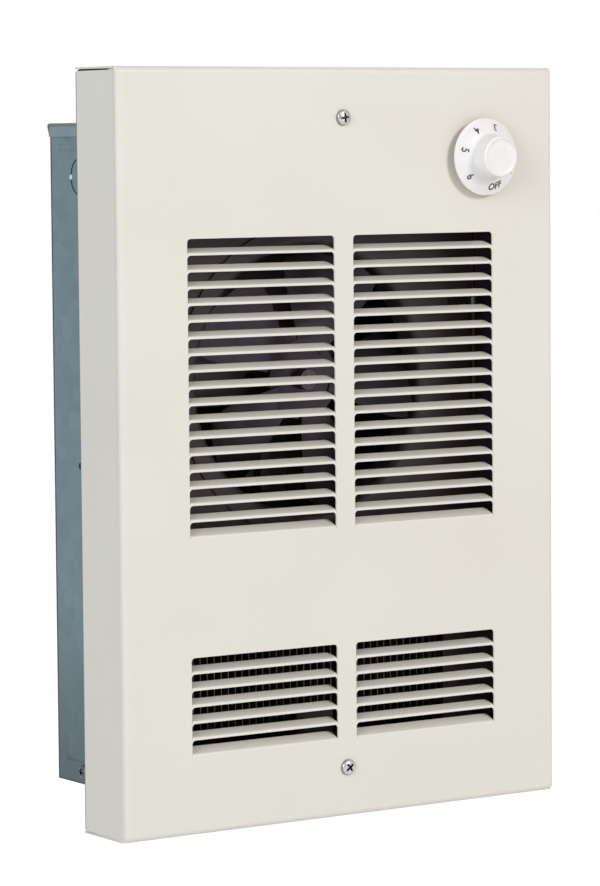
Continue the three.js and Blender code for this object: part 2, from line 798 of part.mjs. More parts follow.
// The deck: a pan with its openings and, on its front, a welded baffle along each side.
function addDeck() {
  const middle = deckSide - deckSheet / 2;
  const plane = deckFront + deckSheet / 2;
  const flangeEnd = deckBack + deckFlange;
  const flangeTop = boxTop - lipHeight - deckSheet;
  const flat = deckSide - deckSheet - deckFold;
  const pan = folded(
    [[-middle, flangeEnd], [-middle, plane], [middle, plane], [middle, flangeEnd]],
    deckSheet,
    deckFold,
  );
  const plate = roundedRectangle(-flat, flat, -deckEnd, deckEnd, deckCorner);
  const [outletX, outletReach] = [outletWidth / 2, outletHeight / 2];
  const pierce = (points) => prism(points, "y", deckBack + through, deckFront - through);
  let deck = cut(
    join(prism(pan, "z", -flangeTop, flangeTop), prism(plate, "y", deckBack, deckFront)),
    pierce(circle(ringHole, fineSides, 0, fanZ)),
    pierce(rectangle(-outletX, outletX, outletZ - outletReach, outletZ + outletReach)),
    pierce(circle(grommetRadius, roundSides, grommetX, grommetZ)),
    pierce(circle(screwRadius + seat, smallSides, groundX, boxTop - groundDrop)),
  );
  for (const side of [-1, 1])
    for (const level of [-1, 1]) {
      const [x, z] = [side * (boxWidth / 2 - deckScrewInsetX), level * (boxTop - lipHeight / 2)];
      deck = cut(deck, pierce(circle(screwRadius + seat, smallSides, x, z)));
    }
  const top = upperTop + baffleOverrun;
  const bottom = lowerTop - lowerRows * louvrePitch - baffleOverrun;
  const baffles = both((side) =>
    block(
      side * (flat - deckSheet), side * flat,
      deckFront - baffleDepth, deckFront + deckSheet / 2,
      bottom, top,
    ),
  );
  add("heater_deck", join(deck, ...baffles), blackEnamel);
}

function addFanRing() {
  const flangeY = deckFront - seat - ringSheet / 2;
  const collarR = ringBore + ringSheet / 2;
  const section = folded(
    [[collarR, deckFront + ringCollar], [collarR, flangeY], [ringHole + ringFlange, flangeY]],
    ringSheet,
    ringMouth,
  );
  add("fan_ring", turnedSection(section, fineSides, 0, fanZ), blackEnamel);
}

function addGrommet() {
  const [front, back] = [deckFront - seat, deckBack + seat];
  const lip = grommetRadius + grommetLip;
  const profile = [
    [grommetBore, front - grommetLip],
    [lip, front - grommetLip],
    [lip, front],
    [grommetRadius - seat, front],
    [grommetRadius - seat, back],
    [lip, back],
    [lip, back + grommetLip],
    [grommetBore, back + grommetLip],
    [grommetBore, front - grommetLip],
  ];
  add("wire_grommet", turned(profile, roundSides, grommetX, grommetZ), rubber);
}

function addDivider() {
  const footY = deckFront - seat - dividerSheet / 2;
  const edgeY = coverInside + louvreReach + dividerGap;
  const half = deckSide - dividerInset;
  const shelf = folded(
    [[footY, dividerZ - dividerFoot], [footY, dividerZ], [edgeY, dividerZ]],
    dividerSheet,
    deckFold,
  );
  add("air_divider", prism(shelf, "x", -half, half), blackEnamel);
}

// A sheet section revolved about a Y axis.
function turnedSection(points, sides, x, z) {
  const closed = [...points, points[0]].map((p) => [p.x, p.y]);
  const ordered = THREE.ShapeUtils.area(points) > 0 ? closed : closed.reverse();
  return turned(ordered, sides, x, z);
}

// ---------------------------------------------------------------- screws

// A pan-head screw. Its sizes are radius, head, headHeight and the length below the head. The
// underside of the head is at a place [x, y, z] and the point aims along a direction.
function panScrew(size, aim, place, sides = screwSides) {
  const profile = [
    [0, -size.length],
    [size.radius, -size.length + size.radius],
    [size.radius, 0],
    [size.head, 0],
    [size.head, size.headHeight * screwRim],
    [size.head * screwCrown, size.headHeight],
    [0, size.headHeight],
  ];
  const geometry = new THREE.LatheGeometry(outline(...profile), sides);
  const down = new THREE.Vector3(0, -1, 0);
  geometry.applyQuaternion(new THREE.Quaternion().setFromUnitVectors(down, aim));
  geometry.translate(...place);
  return solid(geometry);
}

const backward = new THREE.Vector3(0, 1, 0);
const forward = new THREE.Vector3(0, -1, 0);

// A cross recess in the head of a screw that faces the front.
function crossRecess(screw, x, headFront, z) {
  const arm = (halfX, halfZ) =>
    block(
      x - halfX, x + halfX, headFront - through, headFront + screwRecess,
      z - halfZ, z + halfZ,
    );
  const width = screwCross / 2;
  return cut(screw, arm(screwCrossReach, width), arm(width, screwCrossReach));
}

// ---------------------------------------------------------------- cover brackets and screws

function addCoverFixing(name, screwZ, level) {
  const baseY = deckFront - seat - footSheet / 2;
  const footY = coverInside + footGap + footSheet / 2;
  const tip = screwZ + level * (clipWidth / 2 + footSheet);
  const legZ = tip - level * footHeight;
  const baseEnd = legZ - level * footBase;
  const section = folded(
    [[baseY, baseEnd], [baseY, legZ], [footY, legZ], [footY, tip]],
    footSheet,
    deckFold,
  );
  const bore = screwRadius + seat;
  const bracket = cut(
    prism(section, "x", -footWidth / 2, footWidth / 2),
    rod(bore, "y", footY + through, footY - through, 0, screwZ),
  );
  add(`cover_bracket_${name}`, bracket, galvanised);

  // The nut is a spring clip pushed over the foot from its free edge; its front leaf is cut away.
  const clipBack = footY + footSheet / 2 + seat + clipSheet / 2;
  const clipTip = tip + level * (seat + clipSheet / 2);
  const clip = folded(
    [[clipBack, clipTip - level * clipReach], [clipBack, clipTip], [footY - footSheet / 2, clipTip]],
    clipSheet,
    clipSheet / 2,
  );
  const barrelEnd = clipBack + clipBarrel;
  const nut = cut(
    join(
      prism(clip, "x", -clipWidth / 2, clipWidth / 2),
      rod(bore + clipBarrelWall, "y", barrelEnd, clipBack, 0, screwZ),
    ),
    rod(bore, "y", barrelEnd + through, clipBack - through, 0, screwZ),
  );
  add(`clip_nut_${name}`, nut, zincPlate);

  const size = {
    radius: screwRadius,
    head: screwHeadRadius,
    headHeight: screwHeadHeight,
    length: screwLength,
  };
  const under = coverFront - seat;
  const screw = panScrew(size, backward, [0, under, screwZ], roundSides);
  add(`cover_screw_${name}`, crossRecess(screw, 0, under - screwHeadHeight, screwZ), zincPlate);
}

// The screws that hold the deck to the front lips, and the lower end to the sides.
function addBoxScrews() {
  const shape = { radius: screwRadius - seat, head: deckScrewHead, headHeight: deckScrewHeadHeight };
  const corners = {
    top_left: [-1, 1],
    top_right: [1, 1],
    bottom_left: [-1, -1],
    bottom_right: [1, -1],
  };
  const deckSize = { ...shape, length: deckSheet + lapSheet + deckScrewPoint };
  for (const [name, [side, level]] of Object.entries(corners)) {
    const [x, z] = [side * (boxWidth / 2 - deckScrewInsetX), level * (boxTop - lipHeight / 2)];
    add(`deck_screw_${name}`, panScrew(deckSize, backward, [x, deckFront - seat, z]), zincPlate);
  }
  const sideSize = { ...shape, length: sideScrewLength };
  for (const [name, side] of [["left", -1], ["right", 1]]) {
    const spot = [side * (boxWidth / 2 + seat), -sideScrewSetback, sideScrewZ];
    add(`side_screw_${name}`, panScrew(sideSize, new THREE.Vector3(-side, 0, 0), spot), zincPlate);
  }
}

// ---------------------------------------------------------------- fan and motor

// One blade: a helical sheet whose pitch grows from root to tip, with round tip corners.
function blade(turn) {
  const spans = bladeSteps;
  const chords = bladeSteps;
  const half = (bladeSweep / 2) * degree;
  const positions = [];
  for (const face of [-1, 1])
    for (let i = 0; i <= spans; i++)
      for (let j = 0; j <= chords; j++) {
        const share = i / spans;
        const radius = bladeRootRadius + (fanRadius - bladeRootRadius) * share;
        const pitch = (bladeRootPitch + (bladeTipPitch - bladeRootPitch) * share) * degree;
        const nearTip = Math.max(0, (share - 1 + bladeTipShare) / bladeTipShare);
        const width = half * (1 - bladeTipDraw * nearTip * nearTip);
        const angle = width * ((2 * j) / chords - 1);
        const y = bladeY + radius * angle * Math.tan(pitch) + (face * bladeSheet) / 2;
        const around = angle + turn;
        positions.push(radius * Math.cos(around), y, fanZ + radius * Math.sin(around));
      }
  const row = chords + 1;
  const layer = (spans + 1) * row;
  const index = [];
  const quad = (a, b, c, d) => index.push(a, b, c, a, c, d);
  for (let i = 0; i < spans; i++)
    for (let j = 0; j < chords; j++) {
      const a = i * row + j;
      quad(a, a + row, a + row + 1, a + 1);
      quad(layer + a, layer + a + 1, layer + a + row + 1, layer + a + row);
    }
  for (let i = 0; i < spans; i++) {
    const a = i * row;
    quad(a, a + layer, a + row + layer, a + row);
    const b = a + chords;
    quad(b + row, b + row + layer, b + layer, b);
  }
  for (let j = 0; j < chords; j++) {
    quad(j + 1, j + 1 + layer, j + layer, j);
    const b = spans * row + j;
    quad(b, b + layer, b + 1 + layer, b + 1);
  }
  const geometry = new THREE.BufferGeometry();
  geometry.setAttribute("position", new THREE.Float32BufferAttribute(positions, 3));
  geometry.setIndex(index);
  return solid(geometry);
}

function addFan() {
  const discBack = bladeY + bladeSheet / 2;
  const discFront = bladeY - bladeSheet / 2;
  const disc = sleeve(hubRadius + seat, bladeDisc, discBack, discFront, roundSides, 0, fanZ);
  const bore = rod(hubRadius + seat, "y", discBack + hubBack, discFront - hubBack, 0, fanZ, roundSides);
  let wheel = disc;
  for (let i = 0; i < bladeCount; i++) wheel = wheel.add(blade((i * 2 * Math.PI) / bladeCount));
  add("fan_blade", cut(wheel, bore), aluminium);

  const flangeFront = discBack + seat;
  const flangeBack = flangeFront + hubFlange;
  const hubEnd = flangeBack + hubBack;
  const inner = shaftRadius + seat;
  const profile = [
    [inner, discFront - hubFront],
    [hubRadius, discFront - hubFront],
    [hubRadius, flangeFront],
    [hubFlangeRadius, flangeFront],
    [hubFlangeRadius, flangeBack],
    [hubRadius + bladeSheet, flangeBack],
    [hubRadius + bladeSheet, hubEnd],
    [inner, hubEnd],
    [inner, discFront - hubFront],
  ];
  const screwY = flangeBack + hubBack / 2;
  const barrel = hubRadius + bladeSheet;
  const hub = cut(
    turned(profile, roundSides, 0, fanZ),
    rod(setScrewRadius + seat, "x", 0, barrel + through, screwY, fanZ),
  );
  add("fan_hub", hub, darkSteel);
  const setScrew = rod(setScrewRadius, "x", inner, barrel + setScrewRadius, screwY, fanZ);
  add("hub_set_screw", setScrew, darkSteel);
  const [shaftBack, shaftFront] = [motorBack + seat, discFront - hubFront - seat];
  add("motor_shaft", rod(shaftRadius, "y", shaftBack, shaftFront, 0, fanZ, roundSides), shaftSteel);
  const rotor = sleeve(inner, rotorRadius, coreBack - seat, coreFront + seat, roundSides, 0, fanZ);
  add("motor_rotor", rotor, darkSteel);
}

// The two bolts sit left and right of the shaft.
const boltX = (side) => (side * boltSpacing) / 2;

function addCore() {
  const half = coreWidth / 2;
  const inner = half - coreLeg;
  const bottom = fanZ - coreBottom;
  const windowBottom = bottom + coreLeg;
  const pierce = (points) => prism(points, "y", coreBack + through, coreFront - through);
  const outer = roundedRectangle(-half, half, bottom, fanZ + coreTop, coreCorner);
  const core = cut(
    prism(outer, "y", coreBack, coreFront),
    pierce(rectangle(-inner, inner, windowBottom, windowBottom + coreWindow)),
    pierce(circle(rotorRadius + rotorGap, roundSides, 0, fanZ)),
    ...both((side) => pierce(circle(boltRadius + seat, smallSides, boltX(side), fanZ))),
  );
  add("motor_core", core, darkSteel);

  const [front, back] = [coreFront - seat, coreBack + seat];
  const [low, high] = [bottom - seat, windowBottom + seat];
  const coilHalf = inner - coilInset;
  const coilOuter = roundedRectangle(
    front - coilWall, back + coilWall, low - coilWall, high + coilWall, coilCorner,
  );
  const coil = cut(
    prism(coilOuter, "x", -coilHalf, coilHalf),
    prism(rectangle(front, back, low, high), "x", -coilHalf - through, coilHalf + through),
  );
  add("motor_coil", coil, copperTape);
}

// An end frame of the motor: a bridge with a hub for the bearing and an ear for each bolt.
function motorFrame(near, far) {
  const step = Math.sign(far - near);
  const ear = boltRadius + seat + frameWall;
  const end = boltSpacing / 2 + ear;
  const bar = (points) => prism(points, "y", near, far);
  const pierce = (points) => prism(points, "y", near - step * through, far + step * through);
  const bridge = roundedRectangle(-end, end, fanZ - ear, fanZ + ear, ear - seat);
  const body = join(
    prism(bridge, "y", near, near + step * frameSheet),
    bar(circle(bearingPocket + frameWall, smallSides, 0, fanZ)),
    ...both((side) => bar(circle(ear, smallSides, boltX(side), fanZ))),
  );
  return cut(
    body,
    pierce(circle(bearingPocket, smallSides, 0, fanZ)),
    ...both((side) => pierce(circle(boltRadius + seat, smallSides, boltX(side), fanZ))),
  );
}

function bearing(back, front) {
  return sleeve(shaftRadius + bearingPlay, bearingRadius, back, front, smallSides, 0, fanZ);
}

// The strap bridges the fan's opening behind the blades and carries the motor.
function addStrap() {
  const legX = strapSpan / 2;
  const toe = legX + strapFoot;
  const footY = deckBack + seat + strapSheet / 2;
  const webY = strapFront + strapSheet / 2;
  const section = folded(
    [[-toe, footY], [-legX, footY], [-legX, webY], [legX, webY], [legX, footY], [toe, footY]],
    strapSheet,
    strapSheet,
  );
  const hole = (radius, x) =>
    rod(radius, "y", strapFront + through, strapFront - through, x, fanZ);
  const strap = cut(
    prism(section, "z", fanZ - strapWidth / 2, fanZ + strapWidth / 2),
    hole(shaftRadius + strapSheet, 0),
    ...both((side) => hole(boltRadius + seat, boltX(side))),
  );
  add("motor_strap", strap, blackEnamel);
}

function addMotor() {
  addCore();
  add("motor_front_frame", motorFrame(coreFront - seat, motorFront), zincPlate);
  add("motor_rear_frame", motorFrame(coreBack + seat, motorBack), zincPlate);
  add("front_bearing", bearing(coreFront - seat, motorFront), bronze);
  add("rear_bearing", bearing(motorBack, coreBack + seat), bronze);
  addStrap();
  const size = {
    radius: boltRadius,
    head: boltHead,
    headHeight: boltHeadHeight,
    length: motorBack - strapFront + seat,
  };
  for (const [name, side] of [["left", -1], ["right", 1]]) {
    const bolt = panScrew(size, backward, [boltX(side), strapFront - seat, fanZ]);
    add(`motor_bolt_${name}`, bolt, zincPlate);
  }
}

// ---------------------------------------------------------------- heating element and limit switch

// A steel tube that runs out and back through a row of fins.
function addElement() {
  const bendX = bracketX + bracketSheet / 2 + seat;
  const reach = tubeSpacing / 2;
  const bend = Array.from({ length: returnSteps + 1 }, (_, i) => {
    const angle = (90 - (i * 180) / returnSteps) * degree;
    return [bendX + reach * Math.cos(angle), elementY, outletZ + reach * Math.sin(angle)];
  });
  const leg = (z) => rod(tubeRadius, "x", elementStart, bendX + seat, elementY, z, tubeSides);
  const returnBend = tube(bend, tubeRadius, (Math.PI * reach) / returnSteps, tubeSides);
  const [y0, y1] = [elementY - finDepth / 2, elementY + finDepth / 2];
  const outlineOfFin = rectangle(y0, y1, outletZ - finHeight / 2, outletZ + finHeight / 2);
  const field = outletWidth - 4 * finSheet;
  const fins = Array.from({ length: finCount }, (_, i) => {
    const x = -field / 2 + (field * i) / (finCount - 1);
    return prism(outlineOfFin, "x", x - finSheet / 2, x + finSheet / 2);
  });
  const element = join(leg(elementUpper), leg(elementLower), returnBend, ...fins);
  add("heating_element", element, elementSteel);
}

function addElementBrackets() {
  for (const [name, side] of [["left", -1], ["right", 1]]) {
    const footY = deckBack + seat + bracketSheet / 2;
    const x = side * bracketX;
    const section = folded(
      [[x + side * bracketFoot, footY], [x, footY], [x, footY + bracketDepth]],
      bracketSheet,
      bracketSheet,
    );
    const plate = prism(section, "z", outletZ - outletHeight / 2, outletZ + outletHeight / 2);
    const hole = (z) => rod(tubeRadius + seat, "x", x - through, x + through, elementY, z);
    add(`element_bracket_${name}`, cut(plate, hole(elementUpper), hole(elementLower)), galvanised);
  }
}

function addElementTerminals() {
  const bushStart = elementStart - seat;
  const bushEnd = bushStart - insulatorLength;
  const bar = (radius, from, to, z) => rod(radius, "x", from, to, elementY, z);
  for (const [name, z] of [["upper", elementUpper], ["lower", elementLower]]) {
    const bush = cut(
      bar(insulatorRadius, bushStart, bushEnd, z),
      bar(pinRadius + seat, bushStart + through, bushEnd - through, z),
    );
    add(`element_insulator_${name}`, bush, ceramic);
    add(`element_terminal_${name}`, bar(pinRadius, bushStart, bushStart - pinLength, z), shaftSteel);
  }
}

function addLimitSwitch() {
  const front = deckBack + seat;
  const bodyEnd = front + limitPlate + limitDepth;
  const [halfLength, halfHeight] = [limitPlateLength / 2, limitPlateHeight / 2];
  const plate = roundedRectangle(
    limitX - halfLength, limitX + halfLength,
    limitZ - halfHeight, limitZ + halfHeight, limitPlateCorner,
  );
  const tongues = both((side) => {
    const x = limitX + (side * limitRadius) / 2;
    return block(
      x - bladeTerminal / 2, x + bladeTerminal / 2,
      bodyEnd - bladeTerminal, bodyEnd + bladeTerminalLength,
      limitZ - bladeTerminalWidth / 2, limitZ + bladeTerminalWidth / 2,
    );
  });
  const body = join(
    prism(plate, "y", front + limitPlate, front),
    rod(limitRadius, "y", bodyEnd, front, limitX, limitZ, roundSides),
    ...tongues,
  );
  add("limit_switch", body, phenolic);
}

// ---------------------------------------------------------------- thermostat and knob

function addThermostat() {
  const half = thermostatWidth / 2;
  const screwX = both((side) => knobX + (side * thermostatScrewSpacing) / 2);
  addThermostatBracket(half, screwX);
  const bottom = knobZ - thermostatHeight / 2;
  const top = knobZ + thermostatHeight / 2;
  const edge = roundedRectangle(knobX - half, knobX + half, bottom, top, thermostatEdge);
  const middle = (bodyFront + bodyBack) / 2;
  const tongue = (z) =>
    block(
      knobX - half - bladeTerminalLength, knobX - half + bladeTerminal,
      middle - bladeTerminalWidth / 2, middle + bladeTerminalWidth / 2,
      z - bladeTerminal / 2, z + bladeTerminal / 2,
    );
  const bossEnd = bodyFront - bossLength;
  const bore = (radius, depth, x) =>
    rod(radius, "y", bodyFront + depth, bossEnd - through, x, knobZ);
  const body = cut(
    join(
      prism(edge, "y", bodyBack, bodyFront),
      rod(bossRadius, "y", bodyFront + seat, bossEnd, knobX, knobZ),
      tongue(knobZ + terminalOffset),
      tongue(knobZ - terminalOffset),
    ),
    bore(stemRadius + seat, stemSocket + seat, knobX),
    ...screwX.map((x) => bore(boltRadius + seat, stemSocket, x)),
  );
  add("thermostat_body", body, phenolic);

  const size = {
    radius: boltRadius,
    head: thermostatScrewHead,
    headHeight: thermostatScrewHeadHeight,
    length: thermostatPlate + stemSocket,
  };
  for (const [name, x] of [["left", screwX[0]], ["right", screwX[1]]]) {
    const screw = panScrew(size, backward, [x, plateFront - seat, knobZ]);
    add(`thermostat_screw_${name}`, screw, zincPlate);
  }
}

// A plate behind the cover on one leg from the deck, which the capillary passes through.
function addThermostatBracket(half, screwX) {
  const footY = deckFront - seat - thermostatPlate / 2;
  const plateY = plateFront + thermostatPlate / 2;
  const legZ = knobZ - thermostatLeg;
  const section = folded(
    [[footY, legZ - thermostatFoot], [footY, legZ], [plateY, legZ], [plateY, knobZ + thermostatHeight / 2]],
    thermostatPlate,
    deckFold,
  );
  const pierce = (radius, x) => rod(radius, "y", plateY + through, plateY - through, x, knobZ);
  const bracket = cut(
    prism(section, "x", knobX - half, knobX + half),
    pierce(bossRadius + seat, knobX),
    ...screwX.map((x) => pierce(boltRadius + seat, x)),
    rod(capillaryHole, "z", legZ - through, legZ + through, bulbX, bulbY),
  );
  add("thermostat_bracket", bracket, galvanised);
}

// The bulb that feels the room's air, its clip on the deck and its tube to the thermostat.
function addBulb() {
  const bulbTop = bulbBottom + bulbLength;
  add("sensing_bulb", rod(bulbRadius, "z", bulbBottom, bulbTop, bulbX, bulbY), copper);

  const middle = bulbTop - bulbClipInset;
  const [low, high] = [middle - bulbClipWidth / 2, middle + bulbClipWidth / 2];
  const radius = bulbRadius + seat + bulbClipSheet;
  const base = deckFront - seat;
  const wallX = bulbX - radius;
  const clip = cut(
    join(
      rod(radius, "z", low, high, bulbX, bulbY),
      block(wallX, wallX + bulbClipSheet, bulbY, base, low, high),
      block(wallX - bulbClipFoot, wallX + bulbClipSheet, base - bulbClipSheet, base, low, high),
    ),
    rod(bulbRadius + seat, "z", low - through, high + through, bulbX, bulbY),
  );
  add("bulb_clip", clip, zincPlate);

  const bodyBottom = knobZ - thermostatHeight / 2;
  const route = [
    [bulbX, bulbY, bulbTop + seat],
    [bulbX, bulbY, bulbTop + slack / 2],
    [bulbX - 0.3 * slack, bulbY - 0.4 * slack, (bulbTop + bodyBottom) / 2],
    [bulbX, bulbY, bodyBottom - slack],
    [bulbX, bulbY, bodyBottom - seat],
  ];
  add("capillary_tube", tube(route, capillaryRadius, wireStep / 2), copper);
}

function addKnob() {
  const stemBack = bodyFront + stemSocket;
  const bore = stemRadius + seat;
  const boreEnd = knobFront + knobBoreFront;
  const flat = block(
    knobX - stemRadius, knobX + stemRadius, boreEnd, knobRear,
    knobZ + stemRadius - stemFlat, knobZ + bore,
  );
  const stem = rod(stemRadius, "y", stemBack, boreEnd + seat, knobX, knobZ, roundSides);
  add("thermostat_stem", cut(stem, flat), shaftSteel);

  const rimFront = knobRear - knobRim;
  const edge = Array.from({ length: bendSteps + 1 }, (_, i) => {
    const angle = (i / bendSteps) * 90 * degree;
    const radius = gripFront - gripEdge * (1 - Math.sin(angle));
    return [radius, knobFront + gripEdge * (1 - Math.cos(angle))];
  });
  const wallInside = gripBase - knobWall;
  const webBack = gripStart - knobWall;
  const profile = [
    [0, knobFront + knobDish],
    ...edge,
    [gripBase, gripStart],
    [knobRadius - knobRim / 2, rimFront],
    [knobRadius, rimFront + knobRim / 2],
    [knobRadius, knobRear],
    [knobRadius - knobWall, knobRear],
    [wallInside, gripStart + knobWall],
    [wallInside, webBack],
    [knobHub, webBack],
    [knobHub, coverFront - seat],
    [bore, coverFront - seat],
    [bore, boreEnd],
    [0, boreEnd],
  ];
  add("control_knob", turned(profile, fineSides, knobX, knobZ), knobPlastic);

  // A spring ring, open on one side, grips the hub on its stem.
  const inner = knobHub + seat;
  const [front, back] = [gripStart + knobWall, gripStart + knobWall + springWidth];
  const ring = sleeve(inner, inner + springSheet, back, front, roundSides, knobX, knobZ);
  const gap = block(
    knobX - springGap / 2, knobX + springGap / 2, front - through, back + through,
    knobZ, knobZ + inner + through,
  );
  add("knob_spring", cut(ring, gap), shaftSteel);
}

// ---------------------------------------------------------------- terminal block and wires

function addWiring() {
  const front = deckBack + seat;
  const back = front + blockDepth;
  const right = blockLeft + blockWidth;
  const bottom = blockTop - blockHeight;
  const bar = roundedRectangle(blockLeft, right, bottom, blockTop, blockCorner);
  const pocketZ = (blockTop + bottom) / 2;
  const pockets = [1, 3, 5].map((sixth) => {
    const x = blockLeft + (blockWidth * sixth) / 6;
    return rod(blockPocket, "y", back + through, back - blockPocketDepth, x, pocketZ);
  });
  add("terminal_block", cut(prism(bar, "y", back, front), ...pockets), ceramic);

  const groundSize = {
    radius: screwRadius,
    head: screwHeadRadius,
    headHeight: screwHeadHeight,
    length: groundLength,
  };
  const groundSpot = [groundX, deckBack + seat, boxTop - groundDrop];
  add("ground_screw", panScrew(groundSize, forward, groundSpot), greenScrew);

  const wireY = (front + back) / 2;
  const sideRun = (strapSpan / 2 + strapFoot + deckSide - deckSheet) / 2;
  const pinEnd = elementStart - seat - pinLength;
  const pinWire = pinEnd + wireRadius;
  const besidePin = pinRadius + wireRadius + seat;
  const lane = 1.4 * wireRadius; // of each wire to one side of the grommet's middle
  const tongueX = knobX - thermostatWidth / 2 - bladeTerminalLength;
  const tongueY = (bodyFront + bodyBack) / 2;
  const limitEnd = front + limitPlate + limitDepth + bladeTerminalLength;
  const leadZ = fanZ - coreBottom;
  const coilBack = coreBack + coilWall;
  const coreSide = -coreWidth / 2;
  const wires = {
    wire_block_to_thermostat: [
      [right + seat, wireY, blockTop - 0.7 * slack],
      [right + 1.4 * slack, wireY, blockTop - 0.6 * slack],
      [grommetX - 5 * slack, wireY, blockTop - 0.2 * slack],
      [grommetX - 2 * slack, wireY, grommetZ + 0.8 * slack],
      [grommetX - 0.4 * slack, deckBack + 0.9 * slack, grommetZ + 0.3 * slack],
      [grommetX, deckBack + 0.3 * slack, grommetZ + lane],
      [grommetX, deckFront - 0.3 * slack, grommetZ + lane],
      [grommetX + 0.6 * slack, deckFront - 1.1 * slack, grommetZ + 0.4 * slack],
      [tongueX - slack, tongueY, knobZ + terminalOffset],
      [tongueX - seat, tongueY, knobZ + terminalOffset],
    ],
    wire_thermostat_to_limit: [
      [tongueX - seat, tongueY, knobZ - terminalOffset],
      [tongueX - 0.8 * slack, tongueY + 0.1 * slack, knobZ - terminalOffset],
      [grommetX + 0.5 * slack, deckFront - slack, grommetZ - 0.25 * slack],
      [grommetX, deckFront - 0.3 * slack, grommetZ - lane],
      [grommetX, deckBack + 0.3 * slack, grommetZ - lane],
      [grommetX + 0.2 * slack, deckBack + slack, grommetZ - 0.6 * slack],
      [sideRun - 3.5 * slack, deckBack + 1.2 * slack, grommetZ - 2.2 * slack],
      [sideRun, deckBack + 1.4 * slack, grommetZ - 6 * slack],
      [sideRun, deckBack + 1.4 * slack, fanZ],
      [sideRun, deckBack + 1.4 * slack, dividerZ + 3 * slack],
      [sideRun - 2.1 * slack, deckBack + 1.8 * slack, limitZ + 0.4 * slack],
      [limitX + limitRadius / 2 + 0.6 * slack, limitEnd + 0.9 * slack, limitZ],
      [limitX + limitRadius / 2, limitEnd + slack / 2, limitZ],
      [limitX + limitRadius / 2, limitEnd + seat, limitZ],
    ],
    wire_limit_to_element: [
      [limitX - limitRadius / 2, limitEnd + seat, limitZ],
      [limitX - limitRadius / 2, limitEnd + 0.4 * slack, limitZ],
      [limitX - limitRadius / 2 - 0.8 * slack, limitEnd + 0.9 * slack, limitZ],
      [limitX - 4 * slack, limitEnd + 1.2 * slack, limitZ - 0.1 * slack],
      [limitX - 12 * slack, limitEnd + 1.2 * slack, limitZ - 0.2 * slack],
      [slack - sideRun, limitEnd + 0.8 * slack, limitZ - slack / 2],
      [pinEnd, elementY + 0.7 * slack, elementUpper + 1.2 * slack],
      [pinWire, elementY + 0.1 * slack, elementUpper + besidePin],
    ],
    wire_element_to_block: [
      [pinWire, elementY + besidePin, elementLower],
      [pinWire, elementY + 1.2 * slack, elementLower + 0.3 * slack],
      [-sideRun, elementY + 1.6 * slack, elementLower + 3 * slack],
      [-sideRun, elementY + 0.8 * slack, dividerZ + 1.8 * slack],
      [-sideRun, elementY, fanZ],
      [-sideRun, wireY, bottom - 4.9 * slack],
      [blockLeft + 0.7 * slack, wireY, bottom - 1.4 * slack],
      [blockLeft + 0.7 * slack, wireY, bottom - seat],
    ],
    motor_lead_a: [
      [-0.8 * slack, coilBack + 2 * seat, leadZ],
      [-0.8 * slack, coilBack + 0.4 * slack, leadZ],
      [-1.4 * slack, coilBack + 0.9 * slack, leadZ + 0.6 * slack],
      [coreSide - 1.2 * slack, coilBack + 0.8 * slack, fanZ - 3 * slack],
      [coreSide - 3 * slack, coilBack, fanZ + 3 * slack],
      [right - 0.6 * slack, wireY + 1.4 * slack, bottom - 2.9 * slack],
      [blockLeft + 1.8 * slack, wireY, bottom - 1.2 * slack],
      [blockLeft + 1.8 * slack, wireY, bottom - seat],
    ],
    motor_lead_b: [
      [0.4 * slack, coilBack + 2 * seat, leadZ],
      [0.4 * slack, coilBack + slack / 2, leadZ],
      [-0.2 * slack, coilBack + 1.3 * slack, leadZ + 0.8 * slack],
      [coreSide - 0.6 * slack, coilBack + 1.2 * slack, fanZ - 2.4 * slack],
      [coreSide - 2.2 * slack, coilBack + 0.4 * slack, fanZ + 3.4 * slack],
      [right + 0.6 * slack, wireY + 1.6 * slack, bottom - 2.7 * slack],
      [blockLeft + 3 * slack, wireY, bottom - 1.2 * slack],
      [blockLeft + 3 * slack, wireY, bottom - seat],
    ],
  };
  for (const [name, points] of Object.entries(wires))
    add(name, tube(points, wireRadius), name.includes("limit") ? redWire : blackWire);
}

// ---------------------------------------------------------------- the whole heater

addWallBox();
add("box_top_end", upperEnd(), galvanised);
add("box_bottom_end", lowerEnd(), galvanised);
addFrontCover();
addDeck();
addFanRing();
addGrommet();
addDivider();
addCoverFixing("top", coverScrewTop, 1);
addCoverFixing("bottom", coverScrewBottom, -1);
addBoxScrews();
addFan();
addMotor();
addElement();
addElementBrackets();
addElementTerminals();
addLimitSwitch();
addThermostat();
addBulb();
addKnob();
addWiring();

export default model;
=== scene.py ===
"""Looks of a recessed bathroom wall fan heater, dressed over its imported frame.

Metres. +X is to the right of a person who faces the heater, -Y is its front and +Z is up.
Sizes below are in millimetres and are turned into metres where a mesh is made.
"""

import json
import math

import bmesh
import bpy
from mathutils import Matrix, Vector
from mathutils.geometry import delaunay_2d_cdt


